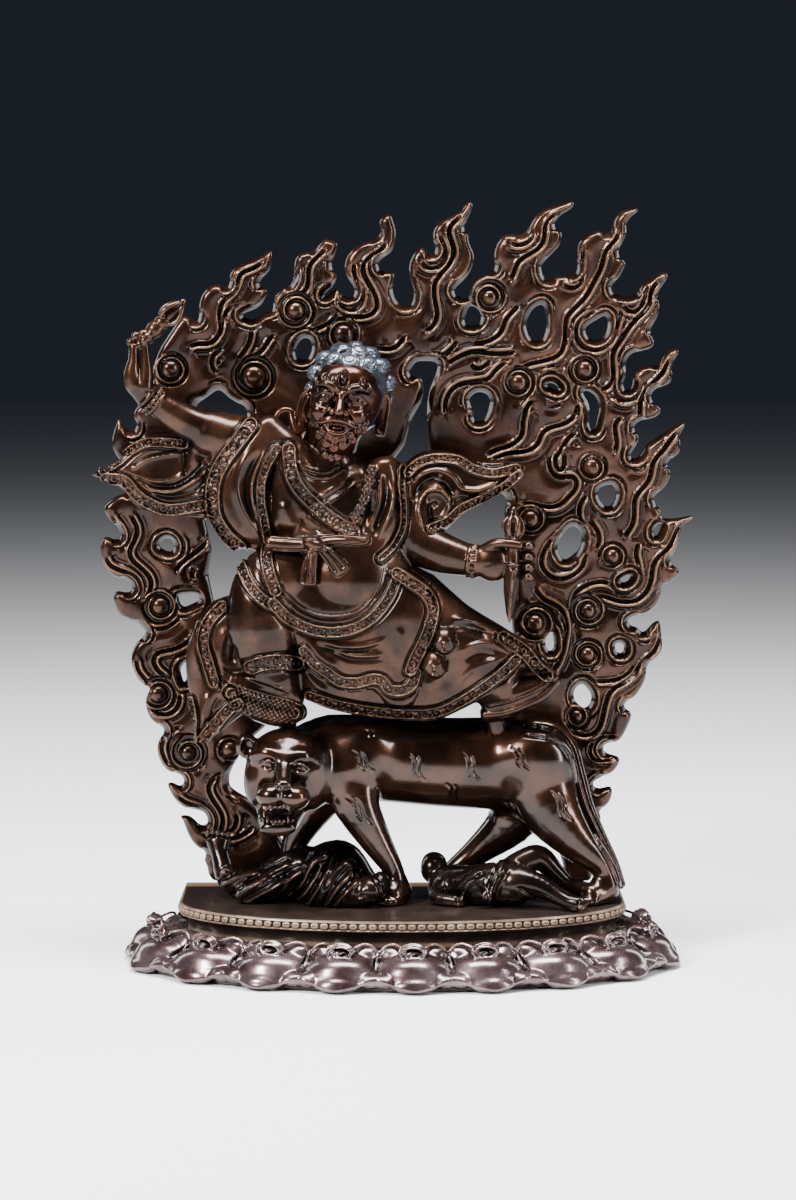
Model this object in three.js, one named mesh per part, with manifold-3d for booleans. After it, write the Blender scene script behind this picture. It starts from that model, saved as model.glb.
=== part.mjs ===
// Bronze group on a lotus plinth: a wrathful protector strides on a tigress that stands over two fallen
// figures, before a horseshoe of flames. Millimetres, +Z up, front toward -Y. The origin is the centre of
// the plinth's underside. Each separately cast piece is one mesh.
import * as THREE from "three";
import { mergeVertices } from "three/addons/utils/BufferGeometryUtils.js";
import Module from "manifold-3d";

const wasm = await Module();
wasm.setup();

// Driving dimensions
const FLOOR = 23;               // top of the plinth
const GAP = 0.3;                // between castings that touch
const LIMB_DOME = 0.75;         // how far a limb's rounded end stands out, by its thickness
const GAP_BESIDE = [[GAP, 0, 0], [-GAP, 0, 0], [0, 0, GAP]];
const PLINTH_HALF_WIDTH = 83.5;
const PLINTH_FRONT = 44.3;      // depth of the rounded front
const PLINTH_BACK = 40;         // depth of the straight back part
const RIM_HEIGHT = 3.8;
const PETAL_REACH = 23;         // petals beyond the neck
const PETAL_PITCH = 24.6;       // from petal to petal round the ring
const PETAL_MIDDLE = 4;         // the middle petal stands this far to the right
const PETAL_COLUMNS = 92;       // places round the whole ring, before the back is cut off
const PETAL_BACK = 18;          // petals end here, the back stays plain
const BEAD_PITCH = 3.6;
const BEAD_STAND = 1.3;         // how far each bead stands off the rim
const PLATE = 6;                // thickness of the flame plate
const PLATE_FOOT_Y = 34;        // middle of the plate where it stands on the plinth
const PLATE_LEAN = 17;          // how far the top comes forward
const PLATE_DISH = 9;           // how far the sides come forward
const PLATE_HALF_WIDTH = 105;
const PLATE_HEIGHT = 265;

// Solids from three.js geometry, joined and cut
function toSolid(geometry) {
  geometry.deleteAttribute("normal");
  geometry.deleteAttribute("uv");
  const merged = mergeVertices(geometry, 1e-4);
  const mesh = new wasm.Mesh({
    numProp: 3,
    vertProperties: new Float32Array(merged.attributes.position.array),
    triVerts: new Uint32Array(merged.index.array),
  });
  return new wasm.Manifold(mesh);
}

function join(solids) {
  return solids.reduce((whole, next) => whole.add(next));
}

function largest(solid) {
  return solid.decompose().reduce((best, next) => (next.volume() > best.volume() ? next : best));
}

// Cut a body back from a neighbour below or beside it, with the casting gap between them
function keepClear(body, neighbour, steps = [[0, 0, GAP]]) {
  return largest(steps.reduce((rest, [x, y, z]) => rest.subtract(neighbour.translate(x, y, z)), body));
}

function cutBelow(body, z) {
  return largest(body.subtract(toSolid(new THREE.BoxGeometry(400, 400, 400).translate(0, 0, z - 200))));
}

// A limb: a sphere drawn out along a curve, with elliptical sections [x, y, z, half width, half depth]
function limb(stations, sides = 6, perSpan = 1) {
  const last = stations.length - 1;
  const path = new THREE.CatmullRomCurve3(stations.map(([x, y, z]) => new THREE.Vector3(x, y, z)));
  path.curveType = "catmullrom";
  const rings = last * perSpan + 2;
  const sphere = new THREE.SphereGeometry(1, sides, rings);
  const position = sphere.attributes.position;
  const along = new THREE.Vector3();
  const across = new THREE.Vector3();
  const deep = new THREE.Vector3();
  for (let ring = 0; ring <= rings; ring++) {
    const inner = THREE.MathUtils.clamp((ring - 1) / (rings - 2), 0, 1);
    const end = ring === 0 ? -1 : Number(ring === rings);
    const spread = end ? 0 : 1;
    const span = Math.min(Math.floor(inner * last), last - 1);
    const part = inner * last - span;
    const width = THREE.MathUtils.lerp(stations[span][3], stations[span + 1][3], part);
    const depth = THREE.MathUtils.lerp(stations[span][4], stations[span + 1][4], part);
    const centre = path.getPoint(inner);
    path.getTangent(inner, along);
    deep.set(0, 1, 0).addScaledVector(along, -along.y).normalize();
    across.crossVectors(deep, along);
    centre.addScaledVector(along, end * LIMB_DOME * Math.min(width, depth));
    for (let side = 0; side <= sides; side++) {
      const angle = ((side % sides) / sides) * 2 * Math.PI;
      const point = centre.clone()
        .addScaledVector(across, -Math.cos(angle) * width * spread)
        .addScaledVector(deep, Math.sin(angle) * depth * spread);
      position.setXYZ(ring * (sides + 1) + side, point.x, point.y, point.z);
    }
  }
  return toSolid(sphere);
}

function ball(x, y, z, width, depth = width, height = width, sides = 8) {
  const sphere = new THREE.SphereGeometry(1, sides, Math.ceil(sides * 0.75));
  return toSolid(sphere.rotateX(Math.PI / 2).scale(width, depth, height).translate(x, y, z));
}

// Cloth or plate: an outline seen from the front, from yFront back to yBack, with chamfered edges
function slab(outline, yFront, yBack, chamfer = 0) {
  const shape = new THREE.Shape(outline.map(([x, z]) => new THREE.Vector2(x, z)));
  const thickness = yBack - yFront;
  const solid = new THREE.ExtrudeGeometry(shape, {
    depth: thickness - 2 * chamfer,
    bevelEnabled: chamfer > 0,
    bevelThickness: chamfer,
    bevelSize: chamfer,
    bevelOffset: -chamfer,
    bevelSegments: 1,
  });
  return toSolid(solid.rotateX(Math.PI / 2).translate(0, yBack - chamfer, 0));
}

// Points [x, z] from a plain run of numbers
function pairs(numbers) {
  return Array.from({ length: numbers.length / 2 }, (_, i) => [numbers[2 * i], numbers[2 * i + 1]]);
}

// A closed line without the points that lie on the straight line between their neighbours.
function closedLine(numbers) {
  const points = pairs(numbers);
  return points.filter(([x, z], i) => {
    const [ax, az] = points.at(i - 1);
    const [bx, bz] = points[(i + 1) % points.length];
    return Math.abs((x - ax) * (bz - z) - (z - az) * (bx - x)) > 0.01;
  });
}

// The plinth's D outline: superellipse front, straight sides and back; grow moves it outward
function plinthOutline(grow, back = PLINTH_BACK) {
  const points = [[PLINTH_HALF_WIDTH + grow, back]];
  const steps = 28;
  for (let step = 0; step <= steps; step++) {
    points.push(roundFront((step / steps) * Math.PI, grow));
  }
  points.push([-PLINTH_HALF_WIDTH - grow, back]);
  return points;
}

function roundFront(angle, grow) {
  const power = 2 / 2.1;
  const cos = Math.cos(angle);
  const sin = Math.sin(angle);
  const x = Math.sign(cos) * Math.abs(cos) ** power * (PLINTH_HALF_WIDTH + grow);
  const y = -(Math.sign(sin) * Math.abs(sin) ** power) * (PLINTH_FRONT + grow);
  return [x, y];
}

function plate(outline, zLow, zHigh) {
  const shape = new THREE.Shape(outline.map(([x, y]) => new THREE.Vector2(x, y)));
  const solid = new THREE.ExtrudeGeometry(shape, { depth: zHigh - zLow, bevelEnabled: false });
  return toSolid(solid.translate(0, 0, zLow));
}

// Angles of evenly spaced places round the whole oval, from the middle of the back
function evenAngles(count, grow) {
  const steps = 720;
  const travelled = [0];
  let [x, y] = roundFront(-Math.PI / 2, grow);
  for (let i = 1; i <= steps; i++) {
    const [nextX, nextY] = roundFront((i / steps) * 2 * Math.PI - Math.PI / 2, grow);
    travelled.push(travelled[i - 1] + Math.hypot(nextX - x, nextY - y));
    [x, y] = [nextX, nextY];
  }
  const length = travelled[steps];
  const angles = [];
  for (let place = 0, i = 0; place < count; place++) {
    const wanted = (place / count) * length;
    while (travelled[i + 1] < wanted) i++;
    const part = (wanted - travelled[i]) / (travelled[i + 1] - travelled[i]);
    angles.push(((i + part) / steps) * 2 * Math.PI - Math.PI / 2);
  }
  return { angles, length };
}

// Petals: a ring whose profile swells and draws in with each petal
function petalRing() {
  const profile = [[-12, 12], [3, 15.5], [10, 13.5], [17, 8.5], [PETAL_REACH, 3.6], [PETAL_REACH - 1, 0],
    [-12, 0]];
  const columns = PETAL_COLUMNS;
  const ring = new THREE.LatheGeometry([...profile, profile[0]].map(([r, z]) => new THREE.Vector2(r + 100, z)),
    columns);
  const position = ring.attributes.position;
  const rows = profile.length + 1;
  const { angles, length } = evenAngles(columns, 6);
  for (let column = 0; column <= columns; column++) {
    const place = column % columns;
    const petal = ((place / columns - 0.5) * length + PETAL_MIDDLE) / PETAL_PITCH;
    const wave = Math.abs(Math.cos(petal * Math.PI));
    for (let row = 0; row < rows; row++) {
      const [reach, height] = profile[row % profile.length];
      const outer = reach > 5 ? reach * (0.86 + 0.14 * wave) : reach;
      const top = height > 3 ? height * (0.76 + 0.24 * wave) : height;
      const [x, y] = roundFront(angles[place], outer);
      position.setXYZ(column * rows + row, x, y, top);
    }
  }
  const solid = toSolid(ring);
  return solid.subtract(toSolid(new THREE.BoxGeometry(300, 100, 60).translate(0, PETAL_BACK + 50, 0)));
}

// The bead row round the front and sides: the rim's outline steps out at each bead
function beadedOutline() {
  const path = new THREE.CurvePath();
  const smooth = plinthOutline(0).map(([x, y]) => new THREE.Vector2(x, y));
  smooth.slice(1).forEach((point, i) => path.add(new THREE.LineCurve(smooth[i], point)));
  const count = Math.round(path.getLength() / BEAD_PITCH);
  const points = [];
  for (let step = 0; step <= 2 * count; step++) {
    const u = step / (2 * count);
    const point = path.getPointAt(u);
    const way = path.getTangentAt(u);
    const out = step % 2 ? BEAD_STAND : 0;
    points.push([point.x + way.y * out, point.y - way.x * out]);
  }
  return points;
}

function buildPlinth() {
  return join([
    plate(beadedOutline(), FLOOR - RIM_HEIGHT, FLOOR),
    plate(plinthOutline(-2), 5, FLOOR - 1),
    plate(plinthOutline(-1), 0, 13),
    petalRing(),
  ]);
}

// The flames' outline, each pair x, z, seen from the front; clockwise from the left foot
const FLAME_OUTLINE = closedLine([
  -73, 25.5, -76.5, 33.5, -75.5, 36.5, -80.5, 40.5, -86, 51, -81.5, 51, -77.5, 47, -75, 47.5, -75, 50,
  -76.5, 52.5, -85.5, 55.5, -90.5, 64, -88.5, 64.5, -85.5, 62.5, -84, 63.5, -84, 66, -89.5, 68.5, -93.5,
  74.5, -93.5, 80.5, -91, 84.5, -96.5, 89.5, -98, 93, -98, 97.5, -96, 101.5, -101, 104.5, -102.5, 108,
  -103, 115.5, -97.5, 122.5, -101, 126.5, -107.5, 129.5, -110, 136, -109, 139, -104.5, 138, -102.5, 139,
  -103, 141.5, -110, 144.5, -114, 151.5, -114, 158.5, -112.5, 160, -107.5, 158.5, -106.5, 160, -112.5,
  168.5, -112.5, 172, -107.5, 175.5, -103, 176.5, -102, 180, -103, 184, -109.5, 193.5, -109.5, 197.5, -107,
  205, -104, 200.5, -101.5, 199.5, -100.5, 201, -101.5, 207, -95.5, 214.5, -91, 231.5, -82.5, 243.5, -77,
  241, -76.5, 247.5, -73.5, 253.5, -70.5, 255, -66, 253.5, -65, 258.5, -61.5, 262, -49, 268, -48.5, 267,
  -49.5, 260.5, -54, 255, -50.5, 253.5, -52.5, 248, -60.5, 243, -56.5, 241.5, -48.5, 245.5, -48, 251, -42,
  254.5, -40.5, 264.5, -39, 266.5, -33.5, 267.5, -29.5, 272, -24, 271, -26.5, 263, -24, 258.5, -29.5, 250,
  -24.5, 254, -19.5, 250, -18, 253.5, -22, 261.5, -21, 265.5, -18.5, 268.5, -8.5, 273.5, -9, 278.5, -5.5,
  281.5, -4, 281.5, -2.5, 270.5, -9, 261.5, -7.5, 260, -2.5, 259.5, -3, 251, 1, 246.5, 4.5, 250.5, 2.5,
  259, 4, 266.5, 7.5, 269.5, 10.5, 266, 12.5, 267, 11.5, 275, 13, 277.5, 20, 281, 25.5, 286.5, 27, 285.5,
  26.5, 283, 23.5, 275, 25.5, 273.5, 27, 262.5, 19.5, 252.5, 25, 249.5, 26.5, 255.5, 35, 260.5, 34.5, 267,
  37.5, 273, 46, 274, 52.5, 282.5, 64, 286.5, 65, 285, 64, 283.5, 57.5, 278, 57.5, 276, 60.5, 274.5, 59.5,
  269.5, 52.5, 262, 54, 257, 56, 256.5, 57.5, 258, 65, 259, 66.5, 271.5, 74, 275.5, 78, 274, 81.5, 282,
  88.5, 283.5, 89, 282.5, 85.5, 280, 84, 277, 84.5, 274, 81.5, 265.5, 84.5, 263, 78.5, 254, 79.5, 251.5,
  84.5, 250.5, 87.5, 251, 90, 255, 97, 259.5, 99.5, 259.5, 100, 257.5, 97, 253.5, 96.5, 243.5, 93.5, 237,
  95.5, 233, 85, 227, 85, 222, 83.5, 217.5, 86, 215, 89, 223.5, 96, 224.5, 99, 229.5, 102, 231, 104.5,
  230.5, 104, 228.5, 101.5, 224, 101.5, 218, 95.5, 215.5, 94, 213, 95, 210.5, 98, 208.5, 98, 207, 88, 202,
  90, 197.5, 86.5, 189.5, 89.5, 189.5, 92.5, 194.5, 103.5, 202, 107.5, 203, 105, 198.5, 105, 191.5, 101,
  188.5, 101.5, 182, 95.5, 174.5, 96, 172.5, 99, 168.5, 98.5, 166.5, 111, 168, 106, 164, 102, 150, 105.5,
  147.5, 105.5, 145, 99, 140, 96, 132, 87, 128, 86, 126.5, 92.5, 122.5, 98.5, 127.5, 99.5, 117, 94, 110,
  91.5, 101, 85, 94.5, 88, 92, 85.5, 83.5, 83.5, 80.5, 77, 77.5, 78.5, 75.5, 84, 74, 81.5, 68.5, 73.5, 64,
  74, 62, 76.5, 61.5, 81, 62.5, 81, 59.5, 76, 52.5, 73, 25.5, 63.5, 25, 49.5, 68, 43.5, 78, 40, 87.5, 41,
  111, 43, 118, 42, 127.5, 43, 142, 39, 167, 40, 174, 33.5, 178.5, 22, 180.5, 14.5, 184.5, 10, 190, 9.5,
  211.5, 13.5, 225.5, 5.5, 226, 2.5, 222, 4, 220, 7, 220.5, 8.5, 214, 3.5, 203.5, 1, 194, -4, 187.5, -12,
  184.5, -27.5, 182.5, -46.5, 182.5, -59.5, 186.5, -59, 208.5, -69.5, 215.5, -77.5, 210, -80.5, 200, -72.5,
  154, -74, 144.5, -69, 127, -68, 111.5, -64, 99.5, -54, 90, -52, 86, -61.5, 78, -65, 70.5, -66.5, 62.5,
  -60, 58, -47, 42.5, -44, 36.5, -43.5, 25,
]);
// Openings through the plate
const FLAME_HOLES = [
  [23.5, 241, 25.5, 247, 29, 245.5, 30, 243.5, 29.5, 241, 25, 239.5],
  [51, 247, 53.5, 247.5, 54, 244.5, 52.5, 234, 50.5, 233.5, 48.5, 235, 47, 238.5, 49, 245],
  [77, 243.5, 77.5, 241, 75, 234.5, 70.5, 235, 69, 237.5, 70, 239.5, 75, 242.5],
  [54.5, 217.5, 57, 218, 59.5, 216, 59.5, 215, 55, 216.5],
  [25.5, 211.5, 29.5, 214.5, 32.5, 213.5, 33.5, 211, 30.5, 203.5, 28.5, 203, 27, 204.5, 26.5, 209],
  [68.5, 215, 71.5, 214.5, 74.5, 210.5, 72, 199.5, 71, 202, 71.5, 208, 69, 213],
  [75, 178, 80, 179.5, 81.5, 177, 80, 171.5, 78, 170.5, 75, 173.5, 74.5, 175.5],
  [65, 163.5, 67, 162.5, 68.5, 160.5, 68.5, 157, 67.5, 154, 62.5, 150, 59.5, 153.5, 59.5, 157, 63, 162],
  [83, 142.5, 87.5, 145, 85, 141.5, 83, 142],
  [96, 159.5, 95.5, 162, 99, 165, 97, 159.5],
  [56.5, 122.5, 57.5, 123, 58.5, 116.5, 57, 114.5, 56, 115, 55.5, 120.5],
  [81.5, 118, 85, 118, 85, 115, 83.5, 114, 82, 115],
  [66, 98.5, 67, 101, 69, 102.5, 73, 97.5, 70, 92.5, 66.5, 95.5],
  [-36, 235, -34.5, 234, -34, 231.5, -35, 228, -37, 226.5, -39.5, 227, -40.5, 229.5, -38, 234.5],
  [-89, 159, -86.5, 156, -89, 153.5, -92.5, 155.5, -90.5, 158.5],
  [-85.5, 136.5, -78.5, 137, -77, 135, -83.5, 132, -85, 134],
  [-81.5, 111, -80.5, 111, -83.5, 102.5, -85, 108, -83.5, 110.5],
].map(closedLine);
// Raised lines that run down from the tips, round the notches and into the bosses
const FLAME_RIBS = [
  [24, 283, 17, 277, 19.5, 268, 11.5, 256, 12.5, 240.5, 5.5, 237],
  [61, 283, 53, 277.5, 52.5, 269.5, 43, 264, 38, 255],
  [81, 277.5, 68.5, 250, 61, 243, 59.5, 228.5, 42.5, 222.5],
  [98, 258.5, 78.5, 229.5, 79.5, 218.5, 71.5, 215.5],
  [82.5, 247.5, 78, 233.5, 73.5, 230, 68, 231.5, 65.5, 236, 66.5, 240, 75.5, 246.5],
  [13.5, 221, 25, 229, 45.5, 229],
  [17.5, 203.5, 18, 214, 33.5, 218.5, 42, 227],
  [-50.5, 265.5, -61, 260, -69, 247.5, -70, 234.5, -82.5, 229.5],
  [-27, 270.5, -35.5, 262.5, -35.5, 254, -45.5, 244],
  [-25, 247.5, -27.5, 240.5, -42, 233.5, -42, 224.5, -38, 223],
  [-5.5, 273.5, -7, 268.5, -15, 263.5, -9.5, 245.5, -13, 243, -22.5, 243.5],
  [49.5, 211.5, 45, 203, 45.5, 198, 30.5, 188],
  [65.5, 211.5, 65.5, 205.5, 52, 199, 51.5, 194.5, 33.5, 188],
  [67.5, 201, 57.5, 191, 59, 183.5, 61.5, 184, 61, 194],
  [55.5, 192.5, 57, 182, 66, 182, 66, 178, 59, 171, 42, 171.5],
  [63.5, 165.5, 54, 155.5, 54, 145, 59, 142, 65, 143.5, 69.5, 147.5, 70, 157],
  [106, 202, 87.5, 175, 87.5, 164.5, 83.5, 156.5],
  [109.5, 167, 105, 165.5, 89, 135, 73.5, 137.5, 70, 134.5],
  [91.5, 159.5, 88.5, 156.5, 90, 148, 85, 140, 76.5, 143, 65.5, 138.5, 66.5, 128, 75, 128],
  [98.5, 126, 96, 115.5, 79, 100.5, 75.5, 86, 68, 83, 63.5, 88],
  [-104, 170.5, -100, 162.5, -104, 152, -95, 142, -97.5, 132],
  [-77, 125.5, -81.5, 119.5, -96, 112.5, -85, 99, -86, 93.5, -90, 91, -95.5, 96],
].map(pairs);
// Round bosses on the front face: x, z, radius
const FLAME_BOSSES = [
  [-56, 220, 5.5], [-87, 223, 4], [-40, 245, 4], [-22, 236, 4.5], [33, 250, 3.5], [44, 218, 4], [69, 223, 4],
  [72, 186, 4], [49, 166, 4], [80, 152, 3.5], [71, 131, 3.5], [51, 126, 4], [71, 114, 3.5], [67, 90, 3],
  [-92, 133, 4], [-93, 99, 4], [-82, 76, 3.5], [-66, 77, 4],
];

function dishDepth(x, z) {
  const rise = Math.max(0, (z - FLOOR) / PLATE_HEIGHT);
  return PLATE_FOOT_Y - PLATE_LEAN * rise ** 1.4 - PLATE_DISH * (x / PLATE_HALF_WIDTH) ** 2;
}

function buildFlames() {
  const half = PLATE / 2;
  const through = FLAME_HOLES.map((hole) => slab(hole, -PLATE, PLATE));
  const solids = [through.reduce((plate, hole) => plate.subtract(hole), slab(FLAME_OUTLINE, -half, half))];
  FLAME_RIBS.forEach((line) => solids.push(limb(line.map(([x, z]) => [x, -half, z, 1, 1]), 4, 1)));
  FLAME_BOSSES.forEach(([x, z, radius]) => solids.push(ball(x, -half, z, radius, 2.4, radius, 6)));
  const flat = toMesh("flat", largest(join(solids)));
  const position = flat.geometry.attributes.position;
  for (let i = 0; i < position.count; i++) {
    position.setY(i, position.getY(i) + dishDepth(position.getX(i), position.getZ(i)));
  }
  return cutBelow(toSolid(flat.geometry), FLOOR + GAP);
}

// The tigress: head low to the viewer's left, turned to the front
function buildTigress() {
  return join([
    limb([[-39, 6, 76, 12, 12], [-27, 7, 77, 15.5, 14], [-5, 8, 76, 16.5, 15], [18, 8, 74.5, 17, 15],
      [37, 8, 74, 17.5, 15], [52, 9, 72, 16.5, 14]], 8, 1),
    limb([[-25, 5, 76, 15, 13], [-36, -3, 74, 13, 12]]),
    limb([[-20, -3, 72, 11, 8], [-17, -5, 60, 8.5, 7], [-10, -5, 47, 6, 5.5], [-3, -5, 35, 3.8, 4],
      [-2, -6, 28, 4, 4.5]]),
    limb([[-1, -5, 27, 4.5, 4.5], [-4, -10, 25.5, 4.8, 4.2]]),
    limb([[-29, 16, 64, 10, 8], [-39, 18, 47, 6, 6], [-43, 18, 35, 4, 4.5], [-44, 16, 26, 4.5, 5]]),
    limb([[52, 2, 73, 14, 10], [55, -2, 60, 12, 9], [65, -4, 47, 8, 7], [75, -4, 38, 5.2, 5.5],
      [78, -4, 31, 4.5, 4.5]]),
    limb([[77, -4, 28, 5, 5], [71, -9, 26, 5, 4.5]]),
    limb([[49, 14, 64, 14, 9], [41, 15, 50, 9, 8], [29, 18, 39, 5.5, 5.5], [20, 18, 31, 4.5, 4.5],
      [17, 17, 26, 5, 4.5]]),
    limb([[47, 12, 88, 3, 3], [57, 12, 86, 3.6, 3.6], [63, 11, 80, 3.8, 3.8], [66, 9, 70, 3.8, 3.8],
      [69, 6, 59, 3.6, 3.6], [74, 3, 48, 3, 3], [79, 1, 38, 2.6, 2.6], [83, 2, 28, 2, 2]], 6, 1),
    limb([[-43, -6, 77, 14, 12], [-45, -16, 73, 12, 10], [-45, -25, 67.5, 8.5, 6.5]], 8),
    limb([[-45, -10, 62, 9, 8], [-46, -21, 55, 7.5, 3.5]]),
    ball(-58, -8, 83, 4, 2.5, 4.5, 6),
    ball(-31, -5, 81, 4, 2.5, 4.5, 6),
    ball(-43.5, -31, 71.5, 3, 2, 2.2, 6),
    ball(-49.5, -24, 77.5, 2.6, 2.4, 2, 6),
    ball(-38, -24, 76, 2.6, 2.4, 2, 6),
  ]);
}

// The fallen figures lie on the plinth, heads together by the tigress's forepaw
function buildFallenLeft() {
  return join([
    limb([[-70, 12, 45, 5, 3], [-69, 10, 38, 3.5, 3.5], [-65, 6, 30, 5, 5], [-54, 0, 28, 7, 6]], 7),
    limb([[-54, 2, 28, 7, 6], [-44, 0, 32, 9, 8], [-34, -2, 36, 8, 8], [-31, -6, 27, 8, 8]], 7),
    limb([[-40, 8, 30, 8, 8], [-24, 8, 38, 7, 7], [-16, 4, 29, 7, 7]], 7),
    limb([[-32, -8, 29, 8, 8], [-22, -12, 29, 7, 7], [-14, -14, 28, 5, 5]], 7),
    ball(-11.5, -14, 29.5, 6, 6.5, 5.6),
  ]);
}

function buildFallenRight() {
  return join([
    ball(12, 6, 34, 5, 5, 5.5),
    limb([[15, 4, 29, 7, 6], [26, -4, 29, 8, 8], [37, -10, 31, 8.5, 8], [43, -14, 31, 7.5, 7]], 7),
    limb([[37, -12, 31, 6, 6], [52, -17, 31, 4.5, 4.5], [60, -21, 27, 3, 3], [65, -25, 25, 3, 2]], 7),
    limb([[36, -4, 31, 6, 6], [52, -2, 39, 4.5, 4.5], [62, -3, 31, 3, 3], [69, -6, 28, 3, 2]], 7),
    limb([[18, 0, 30, 4, 4], [13, -8, 26, 3, 3], [22, -14, 25, 2.5, 2.5]], 6, 1),
  ]);
}

// The protector
function buildHead() {
  const curls = [];
  for (let row = 0; row < 3; row++) {
    const count = [8, 5, 1][row];
    for (let i = 0; i < count; i++) {
      const turn = Math.PI * (0.5 + 2 * (i + row / 2) / count);
      const rise = [0.18, 0.62, 1.15][row];
      const x = -18.5 + 14.5 * Math.cos(turn) * Math.cos(rise) + 1.5 * Math.sin(rise);
      const y = -1 + 14.5 * Math.sin(turn) * Math.cos(rise);
      curls.push(ball(x, y, 218.5 + 12.5 * Math.sin(rise), 4.6, 4.6, 3.8, 4));
    }
  }
  return join([
    ...curls,
    limb([[-25, -7, 199, 8.5, 8], [-22, -5, 208, 13, 13], [-19, -2, 217, 14.5, 15], [-18, -1, 226, 11, 12]], 8),
    limb([[-26, -11, 200, 8, 5], [-27, -12, 194.5, 4, 3.5]], 5),
    limb([[-35.5, -2, 213, 3, 4], [-37.5, -2, 205, 2.4, 3], [-38.5, -2, 198.5, 2.6, 3]], 5),
    limb([[-6.5, 0, 212, 2.6, 4], [-7.5, 0, 203, 2.4, 3]], 5),
    toSolid(new THREE.TorusGeometry(3.8, 1.2, 5, 10).rotateX(Math.PI / 2).translate(-43.5, -3, 204.5)),
    limb([[-41, -2, 207, 1.2, 1.2], [-37, -2, 206, 1.2, 1.2]], 5, 1),
    ball(-23.5, -19, 208, 2.2, 2.5, 4, 6),
    ball(-28.5, -17.5, 213, 2.6, 2, 2, 6),
    ball(-16.5, -17, 214, 2.6, 2, 2, 6),
    ball(-21.5, -17.5, 219, 1.6, 2, 2.6, 6),
  ]);
}

function buildArms() {
  return [
    limb([[-48, 1, 190, 11, 10], [-60, -2, 197, 9, 8.5], [-73, -4, 201, 7.5, 7.5]]),
    limb([[-70, -4, 200, 7, 7], [-80, -6, 204, 6, 6], [-93, -9, 213, 4.6, 4.4], [-97, -10, 219, 5.5, 4]]),
    limb([[-98, -10, 219, 5.5, 3.8], [-99, -11, 228, 4.5, 3.6], [-95, -13, 234, 2.6, 2.6]]),
    limb([[-95, -12, 233, 2, 2], [-88, -12, 241, 2.8, 2.8], [-81, -12, 248, 2, 2]], 6),
    limb([[0, 0, 176, 10, 10], [5, -4, 161, 9, 9], [14, -7, 155, 7, 7], [25, -9, 152, 5.2, 5.2]]),
    limb([[24, -9, 152, 5.4, 5], [33, -11, 152, 6.5, 4.5], [40, -12, 153, 5, 4.5]]),
    limb([[41, -14, 172, 1.6, 1.6], [41, -14, 165, 3.6, 3.6], [41, -14, 150, 2.6, 2.6],
      [39.5, -14, 130, 0.8, 0.8]], 5),
  ];
}

function buildLegs() {
  return [
    limb([[-34, -3, 147, 15, 14], [-50, -10, 142, 13, 13], [-52, -12, 128, 13, 12], [-49, -10, 115, 10.5, 10]]),
    limb([[-49, -10, 115, 10, 10], [-46, -6, 103, 8, 8]]),
    limb([[-42, -4, 97, 7, 7], [-50, -8, 99, 7.5, 8], [-59, -12, 104, 6, 7], [-65, -14, 108, 4, 5]]),
    limb([[-44, -2, 96, 4, 4], [-43, -1, 90, 3.5, 3.5]], 5),
    limb([[-8, -2, 137, 17, 15], [10, -5, 127, 15, 14], [25, -5, 116, 12, 12], [36, -4, 106, 9, 9]]),
    limb([[34, -3, 98, 6.5, 6.5], [42, -4, 100, 6, 7], [51, -5, 103.5, 5.5, 6.5], [57, -6, 106, 3.5, 4]]),
    limb([[35, -2, 96, 3.5, 3.5], [37, 0, 90, 3.5, 3.5]], 5),
  ];
}

// Robe pieces by their outlines seen from the front
const ROBE_CAPE_LEFT = [[-59, 204], [-52, 202], [-46, 195], [-45, 182], [-47, 168], [-49, 156], [-57, 157],
  [-64, 157], [-70, 165], [-74, 173], [-74, 182], [-71, 192], [-65, 201]];
const ROBE_SLEEVE_LEFT = [[-71, 194], [-77, 197], [-87, 199], [-96, 198], [-102, 194], [-106, 189], [-116, 184],
  [-108, 181], [-104, 178], [-100, 173], [-94, 170], [-85, 169], [-70, 169]];
const ROBE_CAPE_RIGHT = [[-7, 190], [1, 186], [4, 178], [2, 167], [-1, 158], [-6, 152], [-12, 156]];
const ROBE_SLEEVE_RIGHT = [[-2, 184], [2, 189], [9, 193], [20, 192], [29, 189], [40, 189], [46, 187], [45, 183],
  [39, 179], [29, 174], [22, 169], [16, 163], [9, 161], [0, 164]];
const ROBE_SKIRT = [[-38, 150], [-40, 124], [-38, 104], [-32, 98], [-17, 94], [-1, 92], [12, 92], [22, 96],
  [31, 101], [40, 109], [56, 112], [44, 123], [23, 136], [4, 150]];
const ROBE_APRON = [[-48, 138], [-38, 117], [-28, 108], [-19, 104], [-11, 105], [-5, 99], [1, 98], [6, 103],
  [11, 122], [14, 130], [12, 137], [-1, 148], [-12, 128], [-24, 124], [-36, 128]];
const ROBE_TAILS = [[-48, 140], [-67, 138], [-74, 133], [-80, 122], [-81, 112], [-80, 103], [-78, 90], [-79, 77],
  [-70, 86], [-60, 94], [-52, 100], [-48, 112]];

function buildRobe() {
  return [
    slab(ROBE_CAPE_LEFT, -13, 9, 3),
    slab(ROBE_SLEEVE_LEFT, -5, 5, 2),
    slab(ROBE_CAPE_RIGHT, -12, 8, 3),
    slab(ROBE_SLEEVE_RIGHT, -6, 6, 2),
    slab(ROBE_SKIRT, -15, 12, 3),
    slab(ROBE_APRON, -20, -10, 1.5),
    slab(ROBE_TAILS, -6, 6, 2),
  ];
}

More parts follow.
